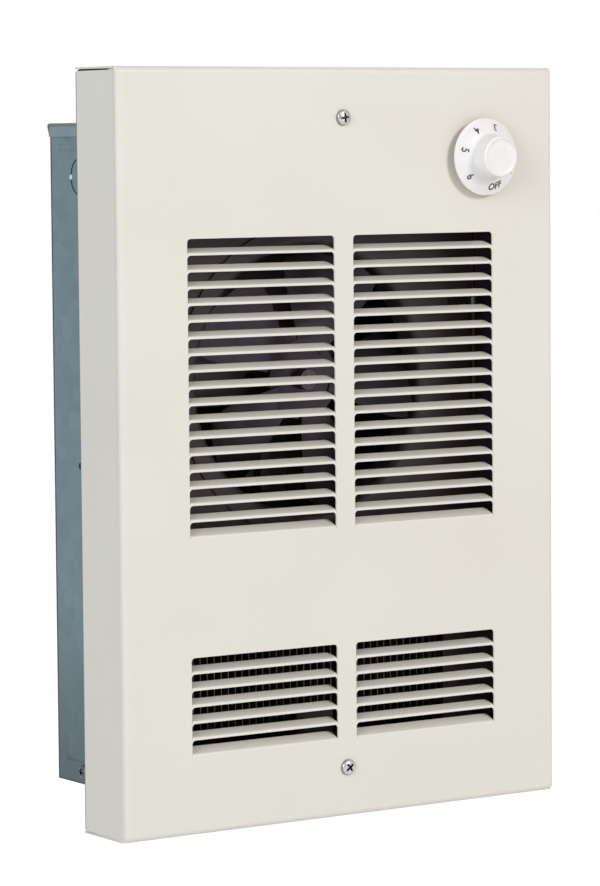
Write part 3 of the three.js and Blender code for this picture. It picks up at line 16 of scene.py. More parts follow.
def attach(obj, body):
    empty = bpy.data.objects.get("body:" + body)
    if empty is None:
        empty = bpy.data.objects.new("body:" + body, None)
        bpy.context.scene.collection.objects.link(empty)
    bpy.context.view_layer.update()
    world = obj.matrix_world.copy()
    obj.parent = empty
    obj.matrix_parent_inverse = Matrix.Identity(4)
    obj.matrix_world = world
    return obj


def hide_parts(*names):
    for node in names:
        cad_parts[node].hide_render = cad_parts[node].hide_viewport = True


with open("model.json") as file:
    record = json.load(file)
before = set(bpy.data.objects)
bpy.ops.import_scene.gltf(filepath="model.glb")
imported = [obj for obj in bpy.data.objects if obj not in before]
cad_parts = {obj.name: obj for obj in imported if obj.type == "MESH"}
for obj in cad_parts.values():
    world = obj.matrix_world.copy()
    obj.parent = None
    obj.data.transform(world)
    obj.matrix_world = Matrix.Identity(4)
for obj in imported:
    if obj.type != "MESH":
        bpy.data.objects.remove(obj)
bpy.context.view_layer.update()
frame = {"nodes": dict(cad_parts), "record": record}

MM = 0.001

# ------------------------ the cover and screws, mm

FRONT = -121.8  # the cover's front face
WALL = -77.0  # where the cover's flanges end
COVER_HALF = 153.4
COVER_TOP = 226.0
COVER_BOTTOM = -214.4
COVER_SHEET = 1.0
FOLD_RADIUS = 3.6
UPPER_SLIT = 1.1  # between two flanges at an upper corner
LOWER_SLIT = 0.4
CORNER_TAB = 7.0  # width of the tabs behind the upper slits
TAB_BEND = 0.8
TAB_GAP = 0.1
DIAL = (99.2, 173.1)
STEM_HOLE = 8.0

COVER_SCREWS = (196.7, -185.1)
COVER_SCREW_HOLE = 2.9
HEAD_RADIUS = 4.7
HEAD_HEIGHT = 2.5
HEAD_RIM = 0.5
HEAD_EDGE = 0.15
HEAD_GAP = 0.3  # between a head and its sheet

PITCH = 9.525
RIDGE = 0.45  # of sheet between two openings
OPENING = PITCH - RIDGE
COLUMN_WIDTH = 101.2
COLUMN_GAP = 13.2
COLUMN_STEP = COLUMN_WIDTH + COLUMN_GAP
BANKS = ((128.3, 18), (-111.6, 6))  # the top of each bank and its rows
CELL_MARGIN = 2.0
CORNER = 2.3
KERF = 0.3
TAB_REACH = 7.9
TAB_RISE = 2.4
LAST_TAB_RISE = 3.4
TAB_FOLD = 0.4


def metres(*values):
    return tuple(value * MM for value in values)


# ------------------------ camera and lamps

VIEW_POINT = (-1235.1, -1926.8, 180.1)
VIEW_YAW = 33.686
VIEW_PITCH = -4.528
VIEW_ROLL = -0.488
FOCAL_PIXELS = 3743.6
FRAME_HEIGHT = 886.0
SENSOR = 36.0


def add_camera():
    """The photograph's viewing point, found from the heater's straight edges."""
    yaw, pitch, roll = (math.radians(a) for a in (VIEW_YAW, VIEW_PITCH, VIEW_ROLL))
    ahead = Vector(
        (math.sin(yaw) * math.cos(pitch), math.cos(yaw) * math.cos(pitch), math.sin(pitch))
    )
    level = Vector((math.cos(yaw), -math.sin(yaw), 0))
    upright = level.cross(ahead)
    right = level * math.cos(roll) + upright * math.sin(roll)
    up = upright * math.cos(roll) - level * math.sin(roll)
    data = bpy.data.cameras.new("viewpoint")
    data.sensor_width = SENSOR
    data.lens = FOCAL_PIXELS * SENSOR / FRAME_HEIGHT
    data.clip_end = 50
    camera = bpy.data.objects.new("viewpoint", data)
    turn = Matrix((right, up, -ahead)).transposed().to_4x4()
    camera.matrix_world = Matrix.Translation(metres(*VIEW_POINT)) @ turn
    bpy.context.scene.collection.objects.link(camera)
    bpy.context.scene.camera = camera


def add_lamp(name, place, size, watts, tint=(1, 1, 1)):
    """A round soft lamp that points at the heater."""
    data = bpy.data.lights.new(name, "AREA")
    data.shape = "DISK"
    data.size = size
    data.energy = watts
    data.color = tint
    lamp = bpy.data.objects.new(name, data)
    turn = (-Vector(place)).to_track_quat("-Z", "Y").to_matrix().to_4x4()
    lamp.matrix_world = Matrix.Translation(place) @ turn
    bpy.context.scene.collection.objects.link(lamp)


# ------------------------ node helpers


def linear(code):
    """An sRGB hex colour as linear red, green, blue and alpha."""
    channels = [int(code[i : i + 2], 16) / 255 for i in (1, 3, 5)]
    curve = [c / 12.92 if c <= 0.04045 else ((c + 0.055) / 1.055) ** 2.4 for c in channels]
    return (*curve, 1.0)


def add_node(tree, kind, inputs=None, stops=(), **settings):
    """Adds a node. Each input is a value, an output, or a node that gives its first output. The
    stops are places along a colour ramp, with a hex colour each."""
    node = tree.nodes.new(kind)
    for name, value in settings.items():
        setattr(node, name, value)
    for socket, value in (inputs or {}).items():
        source = value.outputs[0] if isinstance(value, bpy.types.Node) else value
        if isinstance(source, bpy.types.NodeSocket):
            tree.links.new(source, node.inputs[socket])
        else:
            node.inputs[socket].default_value = source
    while stops and len(node.color_ramp.elements) < len(stops):
        node.color_ramp.elements.new(0.5)
    for (position, colour), point in zip(stops, node.color_ramp.elements if stops else ()):
        point.position = position
        point.color = linear(colour)
    return node


def new_material(name):
    """A material with its empty tree and object coordinates in metres."""
    material = bpy.data.materials.new(name)
    material.use_nodes = True
    tree = material.node_tree
    tree.nodes.clear()
    place = add_node(tree, "ShaderNodeTexCoord").outputs["Object"]
    return material, tree, place


def surfaced(material, inputs):
    """Ends a material in one principled shader with these inputs."""
    tree = material.node_tree
    shader = add_node(tree, "ShaderNodeBsdfPrincipled", inputs)
    add_node(tree, "ShaderNodeOutputMaterial", {"Surface": shader})
    return material


def mottled(tree, place, tones, gloss, patch, grain, depth):
    """The inputs of an even finish, sizes in mm: patches about as wide as patch, in the tones and
    between two roughnesses, and a fine skin with this grain and depth."""
    cloud = add_node(
        tree, "ShaderNodeTexNoise", {"Vector": place, "Scale": 1000 / patch, "Detail": 3}
    )
    spread = [0.3 + 0.4 * i / (len(tones) - 1) for i in range(len(tones))]
    tone = add_node(tree, "ShaderNodeValToRGB", {"Fac": cloud}, stops=list(zip(spread, tones)))
    low, high = gloss
    rough = add_node(tree, "ShaderNodeMapRange", {"Value": cloud, "To Min": low, "To Max": high})
    fine = add_node(
        tree, "ShaderNodeTexNoise", {"Vector": place, "Scale": 1000 / grain, "Detail": 2}
    )
    bump = add_node(
        tree, "ShaderNodeBump", {"Height": fine, "Distance": depth * MM, "Strength": 0.35}
    )
    return {"Base Color": tone, "Roughness": rough, "Normal": bump}


AXES = {"x": (1, 0, 0), "y": (0, 1, 0), "z": (0, 0, 1)}
TESTS = {"<": "LESS_THAN", ">": "GREATER_THAN"}


def where(tree, place, *tests):
    """1 where every test holds and 0 elsewhere. A test is an axis or a direction, a sign, and a
    limit in mm for the distance along it."""
    whole = None
    for axis, sign, limit in tests:
        along = add_node(
            tree,
            "ShaderNodeVectorMath",
            {0: place, 1: AXES.get(axis, axis)},
            operation="DOT_PRODUCT",
        ).outputs["Value"]
        found = add_node(tree, "ShaderNodeMath", {0: along, 1: limit * MM}, operation=TESTS[sign])
        if whole is not None:
            found = add_node(tree, "ShaderNodeMath", {0: whole, 1: found}, operation="MULTIPLY")
        whole = found
    return whole


def tinted(tree, colour, share, tint):
    """A colour turned to a tint by a share."""
    mix = add_node(
        tree, "ShaderNodeMix", {"Factor": share, "A": colour, "B": linear(tint)}, data_type="RGBA"
    )
    return mix.outputs["Result"]


# ------------------------ materials


def baked_enamel():
    """Baked enamel on sheet steel: warm off-white with a low gloss and a fine orange peel. Painted
    shade greys the sheet's rear edges and makes the inside of the flanges near-black."""
    material, tree, place = new_material("baked enamel")
    inputs = mottled(tree, place, ("#e2dcd0", "#e5e0d5"), (0.40, 0.48), 110, 1.3, 0.03)
    core = COVER_SHEET / 2  # the middle of the sheet
    # Painted shade: a grey line along the rear edges, and near-black inside the flanges.
    rear = where(tree, place, ("y", ">", WALL - 0.8))
    inside = where(
        tree,
        place,
        ("x", "<", COVER_HALF - core),
        ("x", ">", core - COVER_HALF),
        ("z", "<", COVER_TOP - core),
        ("z", ">", COVER_BOTTOM + core),
        ("y", ">", FRONT + 10),
    )
    colour = tinted(tree, inputs["Base Color"], rear, "#77777a")
    inputs["Base Color"] = tinted(tree, colour, inside, "#343133")
    inputs.update({"IOR": 1.5, "Specular IOR Level": 0.42})
    return surfaced(material, {**inputs, "Coat Weight": 0.12, "Coat Roughness": 0.25})


def galvanised(name, pale, dark, spangle):
    """Hot-dip galvanised sheet: soft blue-grey zinc with faint crystals a few mm across. On the
    box, painted shade darkens it towards its foot and within, with dark lines at its rear folds
    and top and brown along the laps' cut edges, and painted highlights lighten the laps and the
    knockouts' ties."""
    material, tree, place = new_material(name)
    crystals = add_node(tree, "ShaderNodeTexVoronoi", {"Vector": place, "Scale": 1000 / spangle})
    facet = add_node(tree, "ShaderNodeSeparateColor", {"Color": crystals.outputs["Color"]}).outputs
    cloud = add_node(
        tree,
        "ShaderNodeTexNoise",
        {"Vector": place, "Scale": 1000 / 35, "Detail": 4, "Roughness": 0.6},
    )
    both = add_node(
        tree, "ShaderNodeMix", {"Factor": 0.2, "A": cloud, "B": facet[0]}, data_type="FLOAT"
    )
    tone = add_node(tree, "ShaderNodeValToRGB", {"Fac": both}, stops=((0.25, dark), (0.75, pale)))
    # Painted shade: the zinc darkens towards the box's foot.
    height = add_node(tree, "ShaderNodeSeparateXYZ", {0: place}).outputs[2]
    low = add_node(
        tree,
        "ShaderNodeMapRange",
        {0: height, "From Min": -0.08, "From Max": -0.2, "To Min": 0.0, "To Max": 0.85},
    )
    colour = tinted(tree, tone, low, "#4c585f")

    # Both halves at once: x, y and z are lengths from the middle of the box's back.
    spot = add_node(tree, "ShaderNodeVectorMath", {0: place}, operation="ABSOLUTE")
    # Painted highlight: the laps outside the sides are lightened.
    lap = where(tree, spot, ("x", ">", BOX_HALF + 0.5))
    painted_lap_highlight = add_node(tree, "ShaderNodeMath", {0: lap, 1: 0.5}, operation="MULTIPLY")
    colour = tinted(tree, colour, painted_lap_highlight, "#869ba5")
    # Painted shade: near-black inside the box, dark lines along the rear folds and top, and brown
    # along the laps' cut edges and top.
    painted_inner_shade, painted_fold_shade, painted_edge_shade = "#3a3639", "#46454a", "#74706f"
    for tint, *tests in (
        (painted_inner_shade, ("x", "<", BOX_HALF - 0.8), ("y", ">", 0.9), ("z", "<", BOX_HIGH - 0.7)),
        (painted_fold_shade, ("x", ">", BOX_HALF - 2), ("y", "<", 2.8)),
        (painted_fold_shade, ("x", ">", BOX_HALF - 0.1), ("z", ">", -BOX_LOW - 0.9)),
        (painted_edge_shade, ("x", ">", BOX_HALF + 0.5), ((0, 1, 0.385), "<", 75.9)),
        (painted_edge_shade, ("x", ">", BOX_HALF + 0.1), ("z", ">", BOX_HIGH - 0.8)),
    ):
        colour = tinted(tree, colour, where(tree, spot, *tests), tint)
    # Painted highlight: a bright spot on the tie of each side's knockout.
    back, level = KNOCKOUT_AT
    for side in (-BOX_HALF, BOX_HALF):
        tie = metres(side, KNOCKOUT_RADIUS - back, level)
        far = add_node(tree, "ShaderNodeVectorMath", {0: place, 1: tie}, operation="DISTANCE")
        near = add_node(
            tree, "ShaderNodeMath", {0: far.outputs["Value"], 1: 1.3 * MM}, operation="LESS_THAN"
        )
        colour = tinted(tree, colour, near, "#bcc6c9")

    rough = add_node(
        tree, "ShaderNodeMapRange", {"Value": facet[1], "To Min": 0.42, "To Max": 0.52}
    )
    fine = add_node(
        tree, "ShaderNodeTexNoise", {"Vector": place, "Scale": 1000 / 2.2, "Detail": 3}
    )
    bump = add_node(
        tree, "ShaderNodeBump", {"Height": fine, "Distance": 0.04 * MM, "Strength": 0.35}
    )
    return surfaced(
        material, {"Base Color": colour, "Metallic": 0.85, "Roughness": rough, "Normal": bump}
    )


def zinc_plate(name, *tones):
    """Zinc plate on steel: pale metal with fine tooling marks. It is grey behind the cover; a dark
    band around the heads' rims is a painted dark reflection and shade, and the cover screws'
    recesses hold painted shade."""
    material, tree, place = new_material(name)
    inputs = mottled(tree, place, tones, (0.2, 0.36), 3, 0.5, 0.02)
    depth = add_node(tree, "ShaderNodeSeparateXYZ", {0: place}).outputs[1]
    # Painted dark reflection and shade in a band around the heads' rims.
    start, end = metres(FRONT - 1.9, FRONT - 0.7)
    painted_rim_shade = add_node(
        tree,
        "ShaderNodeMapRange",
        {"Value": depth, "From Min": start, "From Max": end, "To Min": 0.0, "To Max": 0.7},
    )
    colour = tinted(tree, inputs["Base Color"], painted_rim_shade, "#575a5c")
    sides = ("x", ">", -BOX_HALF), ("x", "<", BOX_HALF)
    behind = where(tree, place, ("y", ">", FRONT + 2), *sides)
    colour = tinted(tree, colour, behind, "#4a484b")
    # A head's dome is half of a flat ball, and what lies within that ball is the recess, darkened
    # as painted shade.
    ball = metres(HEAD_RADIUS, HEAD_HEIGHT - HEAD_RIM, HEAD_RADIUS)
    for level in COVER_SCREWS:
        middle = metres(0, FRONT - HEAD_GAP - HEAD_RIM, level)
        share = place
        for operation, values in (("SUBTRACT", middle), ("DIVIDE", ball)):
            share = add_node(
                tree, "ShaderNodeVectorMath", {0: share, 1: values}, operation=operation
            )
        far = add_node(tree, "ShaderNodeVectorMath", {0: share}, operation="LENGTH")
        painted_recess_shade = add_node(
            tree, "ShaderNodeMath", {0: far.outputs["Value"], 1: 0.96}, operation="LESS_THAN"
        )
        colour = tinted(tree, colour, painted_recess_shade, "#554a4b")
    return surfaced(material, {**inputs, "Base Color": colour, "Metallic": 1.0})


def rolled_aluminium():
    """Rolled aluminium sheet with soft streaks from the rolls, in near-black tones as painted
    shade, since the fan lies deep inside the heater.
    """
    material, tree, place = new_material("rolled aluminium")
    inputs = mottled(tree, place, ("#38333a", "#453f47"), (0.26, 0.36), 25, 0.8, 0.02)
    along = add_node(tree, "ShaderNodeMapping", {"Vector": place, "Scale": (0.06, 1, 1)})
    streaks = add_node(
        tree, "ShaderNodeTexNoise", {"Vector": along, "Scale": 1000 / 0.8, "Detail": 3}
    )
    rough = add_node(tree, "ShaderNodeMapRange", {"Value": streaks, "To Min": 0.24, "To Max": 0.4})
    return surfaced(material, {**inputs, "Roughness": rough, "Metallic": 1.0})


def laminated_steel():
    """Varnished motor laminations: dark sheets stacked along Y, drawn 1 mm apart to show."""
    material, tree, place = new_material("varnished laminations")
    sheets = add_node(
        tree,
        "ShaderNodeTexWave",
        {"Vector": place, "Scale": 1000 / (2 * math.pi), "Distortion": 0.2, "Detail": 1},
        bands_direction="Y",
    ).outputs["Fac"]
    tone = add_node(
        tree, "ShaderNodeValToRGB", {"Fac": sheets}, stops=((0.2, "#2f2d30"), (0.8, "#5b585a"))
    )
    bump = add_node(
        tree, "ShaderNodeBump", {"Height": sheets, "Distance": 0.15 * MM, "Strength": 0.5}
    )
    rough = add_node(tree, "ShaderNodeMapRange", {"Value": sheets, "To Min": 0.62, "To Max": 0.46})
    return surfaced(
        material, {"Base Color": tone, "Metallic": 0.6, "Roughness": rough, "Normal": bump}
    )


def ground_steel():
    """Ground bright steel: a grey sheen with fine rings from the wheel."""
    material, tree, place = new_material("ground steel")
    inputs = mottled(tree, place, ("#73767a", "#8b8e92"), (0.22, 0.36), 5, 0.5, 0.01)
    around = add_node(tree, "ShaderNodeMapping", {"Vector": place, "Scale": (0.1, 1, 0.1)})
    rings = add_node(
        tree, "ShaderNodeTexNoise", {"Vector": around, "Scale": 1000 / 0.3, "Detail": 2}
    )
    bump = add_node(
        tree, "ShaderNodeBump", {"Height": rings, "Distance": 0.01 * MM, "Strength": 0.3}
    )
    return surfaced(material, {**inputs, "Normal": bump, "Metallic": 1.0})


def coil_tape():
    """Varnished cloth tape over a winding: dark brown, with an overlap every 6 mm."""
    material, tree, place = new_material("varnished coil tape")
    tones = "#2f261b", "#3b2f22"
    inputs = mottled(tree, place, tones, (0.42, 0.62), 4, 0.7, 0.05)
    turns = add_node(
        tree,
        "ShaderNodeTexWave",
        {"Vector": place, "Scale": 1000 / (2 * math.pi) / 6.0, "Distortion": 0.3},
        bands_direction="X",
        wave_profile="SAW",
    ).outputs["Fac"]
    stops = tuple(zip((0.0, 0.15, 1.0), ("#1f180e", *tones)))
    tone = add_node(tree, "ShaderNodeValToRGB", {"Fac": turns}, stops=stops)
    bump = add_node(
        tree, "ShaderNodeBump", {"Height": turns, "Distance": 0.25 * MM, "Strength": 0.6}
    )
    inputs.update({"Base Color": tone, "Normal": bump, "IOR": 1.5})
    return surfaced(material, inputs)


def braided_sleeve(name, low, high):
    """Glass-braid wire covering: a matt weave of strands 0.8 mm wide."""
    material, tree, place = new_material(name)
    inputs = mottled(tree, place, (low, high), (0.62, 0.78), 2, 0.8, 0.05)
    strands = add_node(
        tree,
        "ShaderNodeTexChecker",
        {"Vector": place, "Scale": 1000 / 0.8, "Color1": linear(low), "Color2": linear(high)},
    ).outputs
    bump = add_node(
        tree, "ShaderNodeBump", {"Height": strands["Fac"], "Distance": 0.08 * MM, "Strength": 0.5}
    )
    inputs.update({"Base Color": strands["Color"], "Normal": bump})
    return surfaced(material, {**inputs, "IOR": 1.5, "Sheen Weight": 0.2})


def even_finish(name, tones, gloss, patch, grain, depth, **shader):
    """A finish without a pattern of its own, with what else its shader needs."""
    material, tree, place = new_material(name)
    inputs = mottled(tree, place, tones, gloss, patch, grain, depth)
    inputs.update({label.replace("_", " "): value for label, value in shader.items()})
    return surfaced(material, inputs)


# ------------------------ mesh helpers


def new_object(name, mesh):
    made = bpy.data.objects.new(name, mesh)
    bpy.context.scene.collection.objects.link(made)
    return made


def mesh_of(name, points, faces):
    """A mesh from points in mm."""
    mesh = bpy.data.meshes.new(name)
    mesh.from_pydata([metres(*point) for point in points], [], faces)
    return mesh


def edited(mesh, change):
    """Changes a mesh by a function of its editable copy."""
    work = bmesh.new()
    work.from_mesh(mesh)
    change(work)
    work.to_mesh(mesh)
    work.free()
    return mesh


def welded(mesh, *others, outward=False):
    """Joins meshes into the first one and merges their shared points."""

    def weld(work):
        for part in others:
            work.from_mesh(part)
        bmesh.ops.remove_doubles(work, verts=work.verts, dist=0.002 * MM)
        if outward:
            bmesh.ops.recalc_face_normals(work, faces=work.faces)

    return edited(mesh, weld)


def smooth(mesh, angle):
    """Smooth shading that keeps edges over an angle crisp."""
    mesh.shade_smooth()
    mesh.set_sharp_from_angle(angle=math.radians(angle))
    return mesh


def plain_mesh(host):
    """The mesh that an object shows, with its modifiers."""
    bpy.context.view_layer.update()
    graph = bpy.context.evaluated_depsgraph_get()
    return bpy.data.meshes.new_from_object(host.evaluated_get(graph), depsgraph=graph)


def baked(host):
    """Turns an object and its modifiers into a plain mesh object."""
    mesh = plain_mesh(host)
    host.modifiers.clear()
    host.data = mesh
    return host


def mesh_from(curve):
    """The mesh of a curve or a text."""
    host = new_object("curve", curve)
    mesh = plain_mesh(host)
    bpy.data.objects.remove(host)
    return mesh


def modify(piece, kind, **settings):
    """Adds a modifier with its settings."""
    modifier = piece.modifiers.new(kind, kind)
    for name, value in settings.items():
        setattr(modifier, name, value)


def modified(mesh, kind, **settings):
    """A mesh changed by one modifier."""
    host = new_object("host", mesh)
    modify(host, kind, **settings)
    mesh = plain_mesh(host)
    bpy.data.objects.remove(host)
    return mesh


def rounded(piece, width, angle, crisp):
    """Rounds the edges over an angle by a width in mm, and shades flat faces flat. Edges over the
    crisp angle stay sharp."""
    modify(
        piece,
        "BEVEL",
        width=width * MM,
        segments=2,
        limit_method="ANGLE",
        angle_limit=math.radians(angle),
    )
    baked(piece)
    smooth(piece.data, crisp)
    modify(piece, "WEIGHTED_NORMAL", keep_sharp=True)
    baked(piece)


def sheet_metal(piece, thickness, edge):
    """Gives an outer surface its thickness inwards and slightly rounded cut edges, in mm."""
    modify(piece, "SOLIDIFY", thickness=thickness * MM, offset=-1, use_even_offset=True)
    rounded(piece, edge, 60, 30)


def dress(piece, material, body, slot, *nodes):
    """Gives a piece its finish and its body, and hides the imported solids it stands for."""
    piece.data.materials.clear()
    piece.data.materials.append(material)
    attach(piece, body)
    if nodes:
        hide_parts(*nodes)


def ring_points(radius, sides, u, v):
    turns = [2 * math.pi / sides * i for i in range(sides)]
    return [(u + radius * math.cos(a), v + radius * math.sin(a)) for a in turns]


def arc(u, v, radius, start, end, steps):
    """Points on an arc between two angles in degrees."""
    turn = [math.radians(start + (end - start) * i / steps) for i in range(steps + 1)]
    return [(u + radius * math.cos(a), v + radius * math.sin(a)) for a in turn]


def strip(count, first=0):
    """Faces between pairs of points that follow one another, from the first point on."""
    return [(i, i + 1, i + 3, i + 2) for i in range(first, first + 2 * count, 2)]


def flat_sheet(name, y, outer, holes):
    """A flat face in the plane y, with holes. Loops are lists of (x, z) in mm, counterclockwise
    from the front."""
    points, loops = [], []
    for loop in (outer, *holes):
        loops.append(list(range(len(points), len(points) + len(loop))))
        points += [Vector(p) for p in loop]
    made, _, faces, _, _, owners = delaunay_2d_cdt(points, [], loops, 0, 1e-5)
    kept = [tuple(face) for face, owner in zip(faces, owners) if list(owner) == [0]]
    mesh = mesh_of(name, [(p.x, y, p.y) for p in made], kept)
    level = {"angle_limit": math.radians(0.5), "use_dissolve_boundaries": False}
    return edited(
        mesh, lambda work: bmesh.ops.dissolve_limit(work, verts=[], edges=work.edges, **level)
    )


def turned(name, profile, sides, x=0.0, z=0.0):
    """A turned body about a Y axis. The profile's pairs are radius and y, in mm. A closed profile
    ends where it starts, and an open one starts and ends on the axis."""
    closed = profile[0] == profile[-1]
    points, index = [], []
    for radius, y in profile[:-1] if closed else profile:
        if radius == 0:
            index.append([len(points)] * sides)
            points.append((x, y, z))
            continue
        index.append(list(range(len(points), len(points) + sides)))
        points += [(u, y, v) for u, v in ring_points(radius, sides, x, z)]
    faces = []
    for low, high in zip(index, index[1:] + (index[:1] if closed else [])):
        for i in range(sides):
            j = (i + 1) % sides
            faces.append(list(dict.fromkeys([low[i], low[j], high[j], high[i]])))
    return welded(mesh_of(name, points, [f for f in faces if len(f) > 2]), outward=True)


# ------------------------ geometry node tree


def copies_tree():
    """Copies of a shape in a row, each turned about Y from the one before. Without a step they
    stand around one axis."""
    tree = bpy.data.node_groups.new("row of copies", "GeometryNodeTree")
    tree.interface.new_socket("Geometry", in_out="OUTPUT", socket_type="NodeSocketGeometry")
    for label, kind in (
        ("Shape", "Object"),
        ("Count", "Int"),
        ("Start", "Vector"),
        ("Step", "Vector"),
        ("Turn", "Float"),
        ("Material", "Material"),
    ):
        tree.interface.new_socket(label, in_out="INPUT", socket_type="NodeSocket" + kind)
    given = add_node(tree, "NodeGroupInput").outputs
    line = add_node(
        tree,
        "GeometryNodeMeshLine",
        {"Count": given["Count"], "Start Location": given["Start"], "Offset": given["Step"]},
        mode="OFFSET",
    )
    index = add_node(tree, "GeometryNodeInputIndex")
    angle = add_node(tree, "ShaderNodeMath", {0: index, 1: given["Turn"]}, operation="MULTIPLY")
    turn = add_node(tree, "ShaderNodeCombineXYZ", {"Y": angle})
    shape = add_node(tree, "GeometryNodeObjectInfo", {"Object": given["Shape"]})
    copies = add_node(
        tree,
        "GeometryNodeInstanceOnPoints",
        {"Points": line, "Instance": shape.outputs["Geometry"], "Rotation": turn},
    )
    real = add_node(tree, "GeometryNodeRealizeInstances", {"Geometry": copies})
    painted = add_node(
        tree, "GeometryNodeSetMaterial", {"Geometry": real, "Material": given["Material"]}
    )
    add_node(tree, "NodeGroupOutput", {0: painted})
    return tree


def template(mesh):
    """An unlinked object that the tree takes its shape from."""
    return bpy.data.objects.new("template", mesh)


def grown(name, tree, **values):
    """Runs a geometry tree with these inputs and keeps its result as a plain object."""
    host = new_object(name, bpy.data.meshes.new(name))
    modifier = host.modifiers.new(tree.name, "NODES")
    modifier.node_group = tree
    for item in tree.interface.items_tree:
        if item.in_out == "INPUT":
            modifier[item.identifier] = values[item.name]
    return baked(host)


# ------------------------ front cover


def louvre_cell(rise):
    """The sheet around one opening with its tab, as the outer surface. The opening's top middle
    is at x 0, z 0."""
    half = COLUMN_WIDTH / 2
    side = half + CELL_MARGIN
    top, bottom = RIDGE / 2, RIDGE / 2 - PITCH
    tab = half - KERF
    opening = [(-tab, -OPENING), (tab, -OPENING), (half, -OPENING)]
    opening += arc(half - CORNER, -CORNER, CORNER, 0, 90, 6)
    opening += arc(CORNER - half, -CORNER, CORNER, 90, 180, 6)
    opening += [(-half, -OPENING)]
    outer = [(-side, bottom), (side, bottom), (side, top), (-side, top)]
    sheet = flat_sheet("louvre", FRONT, outer, [opening])

    # The tab follows the fold and then runs straight to its free edge, with round corners.
    lean = math.atan2(TAB_REACH, rise)
    middle = TAB_FOLD + COVER_SHEET / 2
    length = math.hypot(TAB_REACH, rise) - middle * math.tan(lean / 2)
    bend = TAB_FOLD + COVER_SHEET
    rows = []
    for i in range(8):
        angle = lean * i / 7
        rows.append((bend * (1 - math.cos(angle)), bend * math.sin(angle), tab))
    foot = rows[-1]
    for i in range(7):
        angle = math.radians(90 * i / 6)
        run = length - CORNER * (1 - math.sin(angle))
        width = tab - CORNER * (1 - math.cos(angle))
        rows.append((foot[0] + run * math.sin(lean), foot[1] + run * math.cos(lean), width))
    points = []
    for back, up, width in rows:
        points += [(side * width, FRONT + back, up - OPENING) for side in (-1, 1)]
    return welded(sheet, mesh_of("tab", points, strip(len(rows) - 1)))


def cover_front(half, top, bottom):
    """The flat of the cover's front, with room for the louvres."""
    holes = []
    reach = COLUMN_WIDTH / 2 + CELL_MARGIN
    for first, rows in BANKS:
        levels = [first + RIDGE / 2 - PITCH * i for i in range(rows + 1)]
        for middle in (-COLUMN_STEP / 2, COLUMN_STEP / 2):
            left = [(middle - reach, z) for z in levels]
            holes.append(left + [(middle + reach, z) for z in reversed(levels)])
    holes += [ring_points(COVER_SCREW_HOLE, 32, 0, z) for z in COVER_SCREWS]
    holes.append(ring_points(STEM_HOLE, 48, *DIAL))
    outer = [(-half, bottom), (half, bottom), (half, top), (-half, top)]
    return flat_sheet("cover", FRONT, outer, holes)


def cover_folds(half, top, bottom):
    """The folds around the front, whose corners are rounded between, and the flanges, with a slit
    at each corner."""
    steps, turns = 8, 6
    points, faces = [], []
    for i in range(steps + 1):
        angle = math.radians(90 * i / steps)
        out = FOLD_RADIUS * math.sin(angle)
        y = FRONT + FOLD_RADIUS * (1 - math.cos(angle))
        round_off = out * (1 - (i / steps) ** 6)
        straight = out - round_off
        right, high, low = half + straight, top + straight, bottom - straight
        corners = ((-right, low, 180), (right, low, 270), (right, high, 0), (-right, high, 90))
        for x, z, start in corners:
            points += [(u, y, v) for u, v in arc(x, z, round_off, start, start + 90, turns)]
    count = 4 * (turns + 1)
    low = COVER_BOTTOM + COVER_SHEET + LOWER_SLIT
    high = COVER_TOP - COVER_SHEET - UPPER_SLIT
    slits = len(points)
    for y in (FRONT + FOLD_RADIUS, WALL):
        points += [(COVER_HALF, y, low), (COVER_HALF, y, high)]
        points += [(-COVER_HALF, y, high), (-COVER_HALF, y, low)]
    rims = len(points)
    points += [(-COVER_HALF, WALL, COVER_BOTTOM), (COVER_HALF, WALL, COVER_BOTTOM)]
    points += [(COVER_HALF, WALL, COVER_TOP), (-COVER_HALF, WALL, COVER_TOP)]
    last = count * steps
    side_edges = {2 * turns + 1: [slits, slits + 1], 4 * turns + 3: [slits + 2, slits + 3]}
    for i in range(steps):
        for side in range(count):
            a, b = count * i + side, count * i + (side + 1) % count
            between = side_edges.get(side, []) if i == steps - 1 else []
            faces.append([a, a + count, *between, b + count, b])
    faces.append([last, rims, rims + 1, last + turns + 1])
    faces.append([slits, slits + 4, slits + 5, slits + 1])
    faces.append([last + 2 * turns + 2, rims + 2, rims + 3, last + 3 * turns + 3])
    faces.append([slits + 2, slits + 6, slits + 7, slits + 3])
    return mesh_of("folds", points, faces)


def corner_tabs():
    """A folded tab behind each upper corner's slit, held under the top flange."""
    inset = COVER_SHEET + TAB_GAP + TAB_BEND
    reach, level = COVER_HALF - inset, COVER_TOP - inset
    line = [(reach - CORNER_TAB, level + TAB_BEND), *arc(reach, level, TAB_BEND, 90, 0, 4)]
    line.append((reach + TAB_BEND, level - CORNER_TAB))
    points, faces = [], []
    for side in (-1, 1):
        first = len(points)
        for u, v in line:
            points += [(side * u, FRONT + FOLD_RADIUS + 1, v), (side * u, WALL - 0.5, v)]
        faces += [face[::-side] for face in strip(len(line) - 1, first)]
    return mesh_of("corner tabs", points, faces)


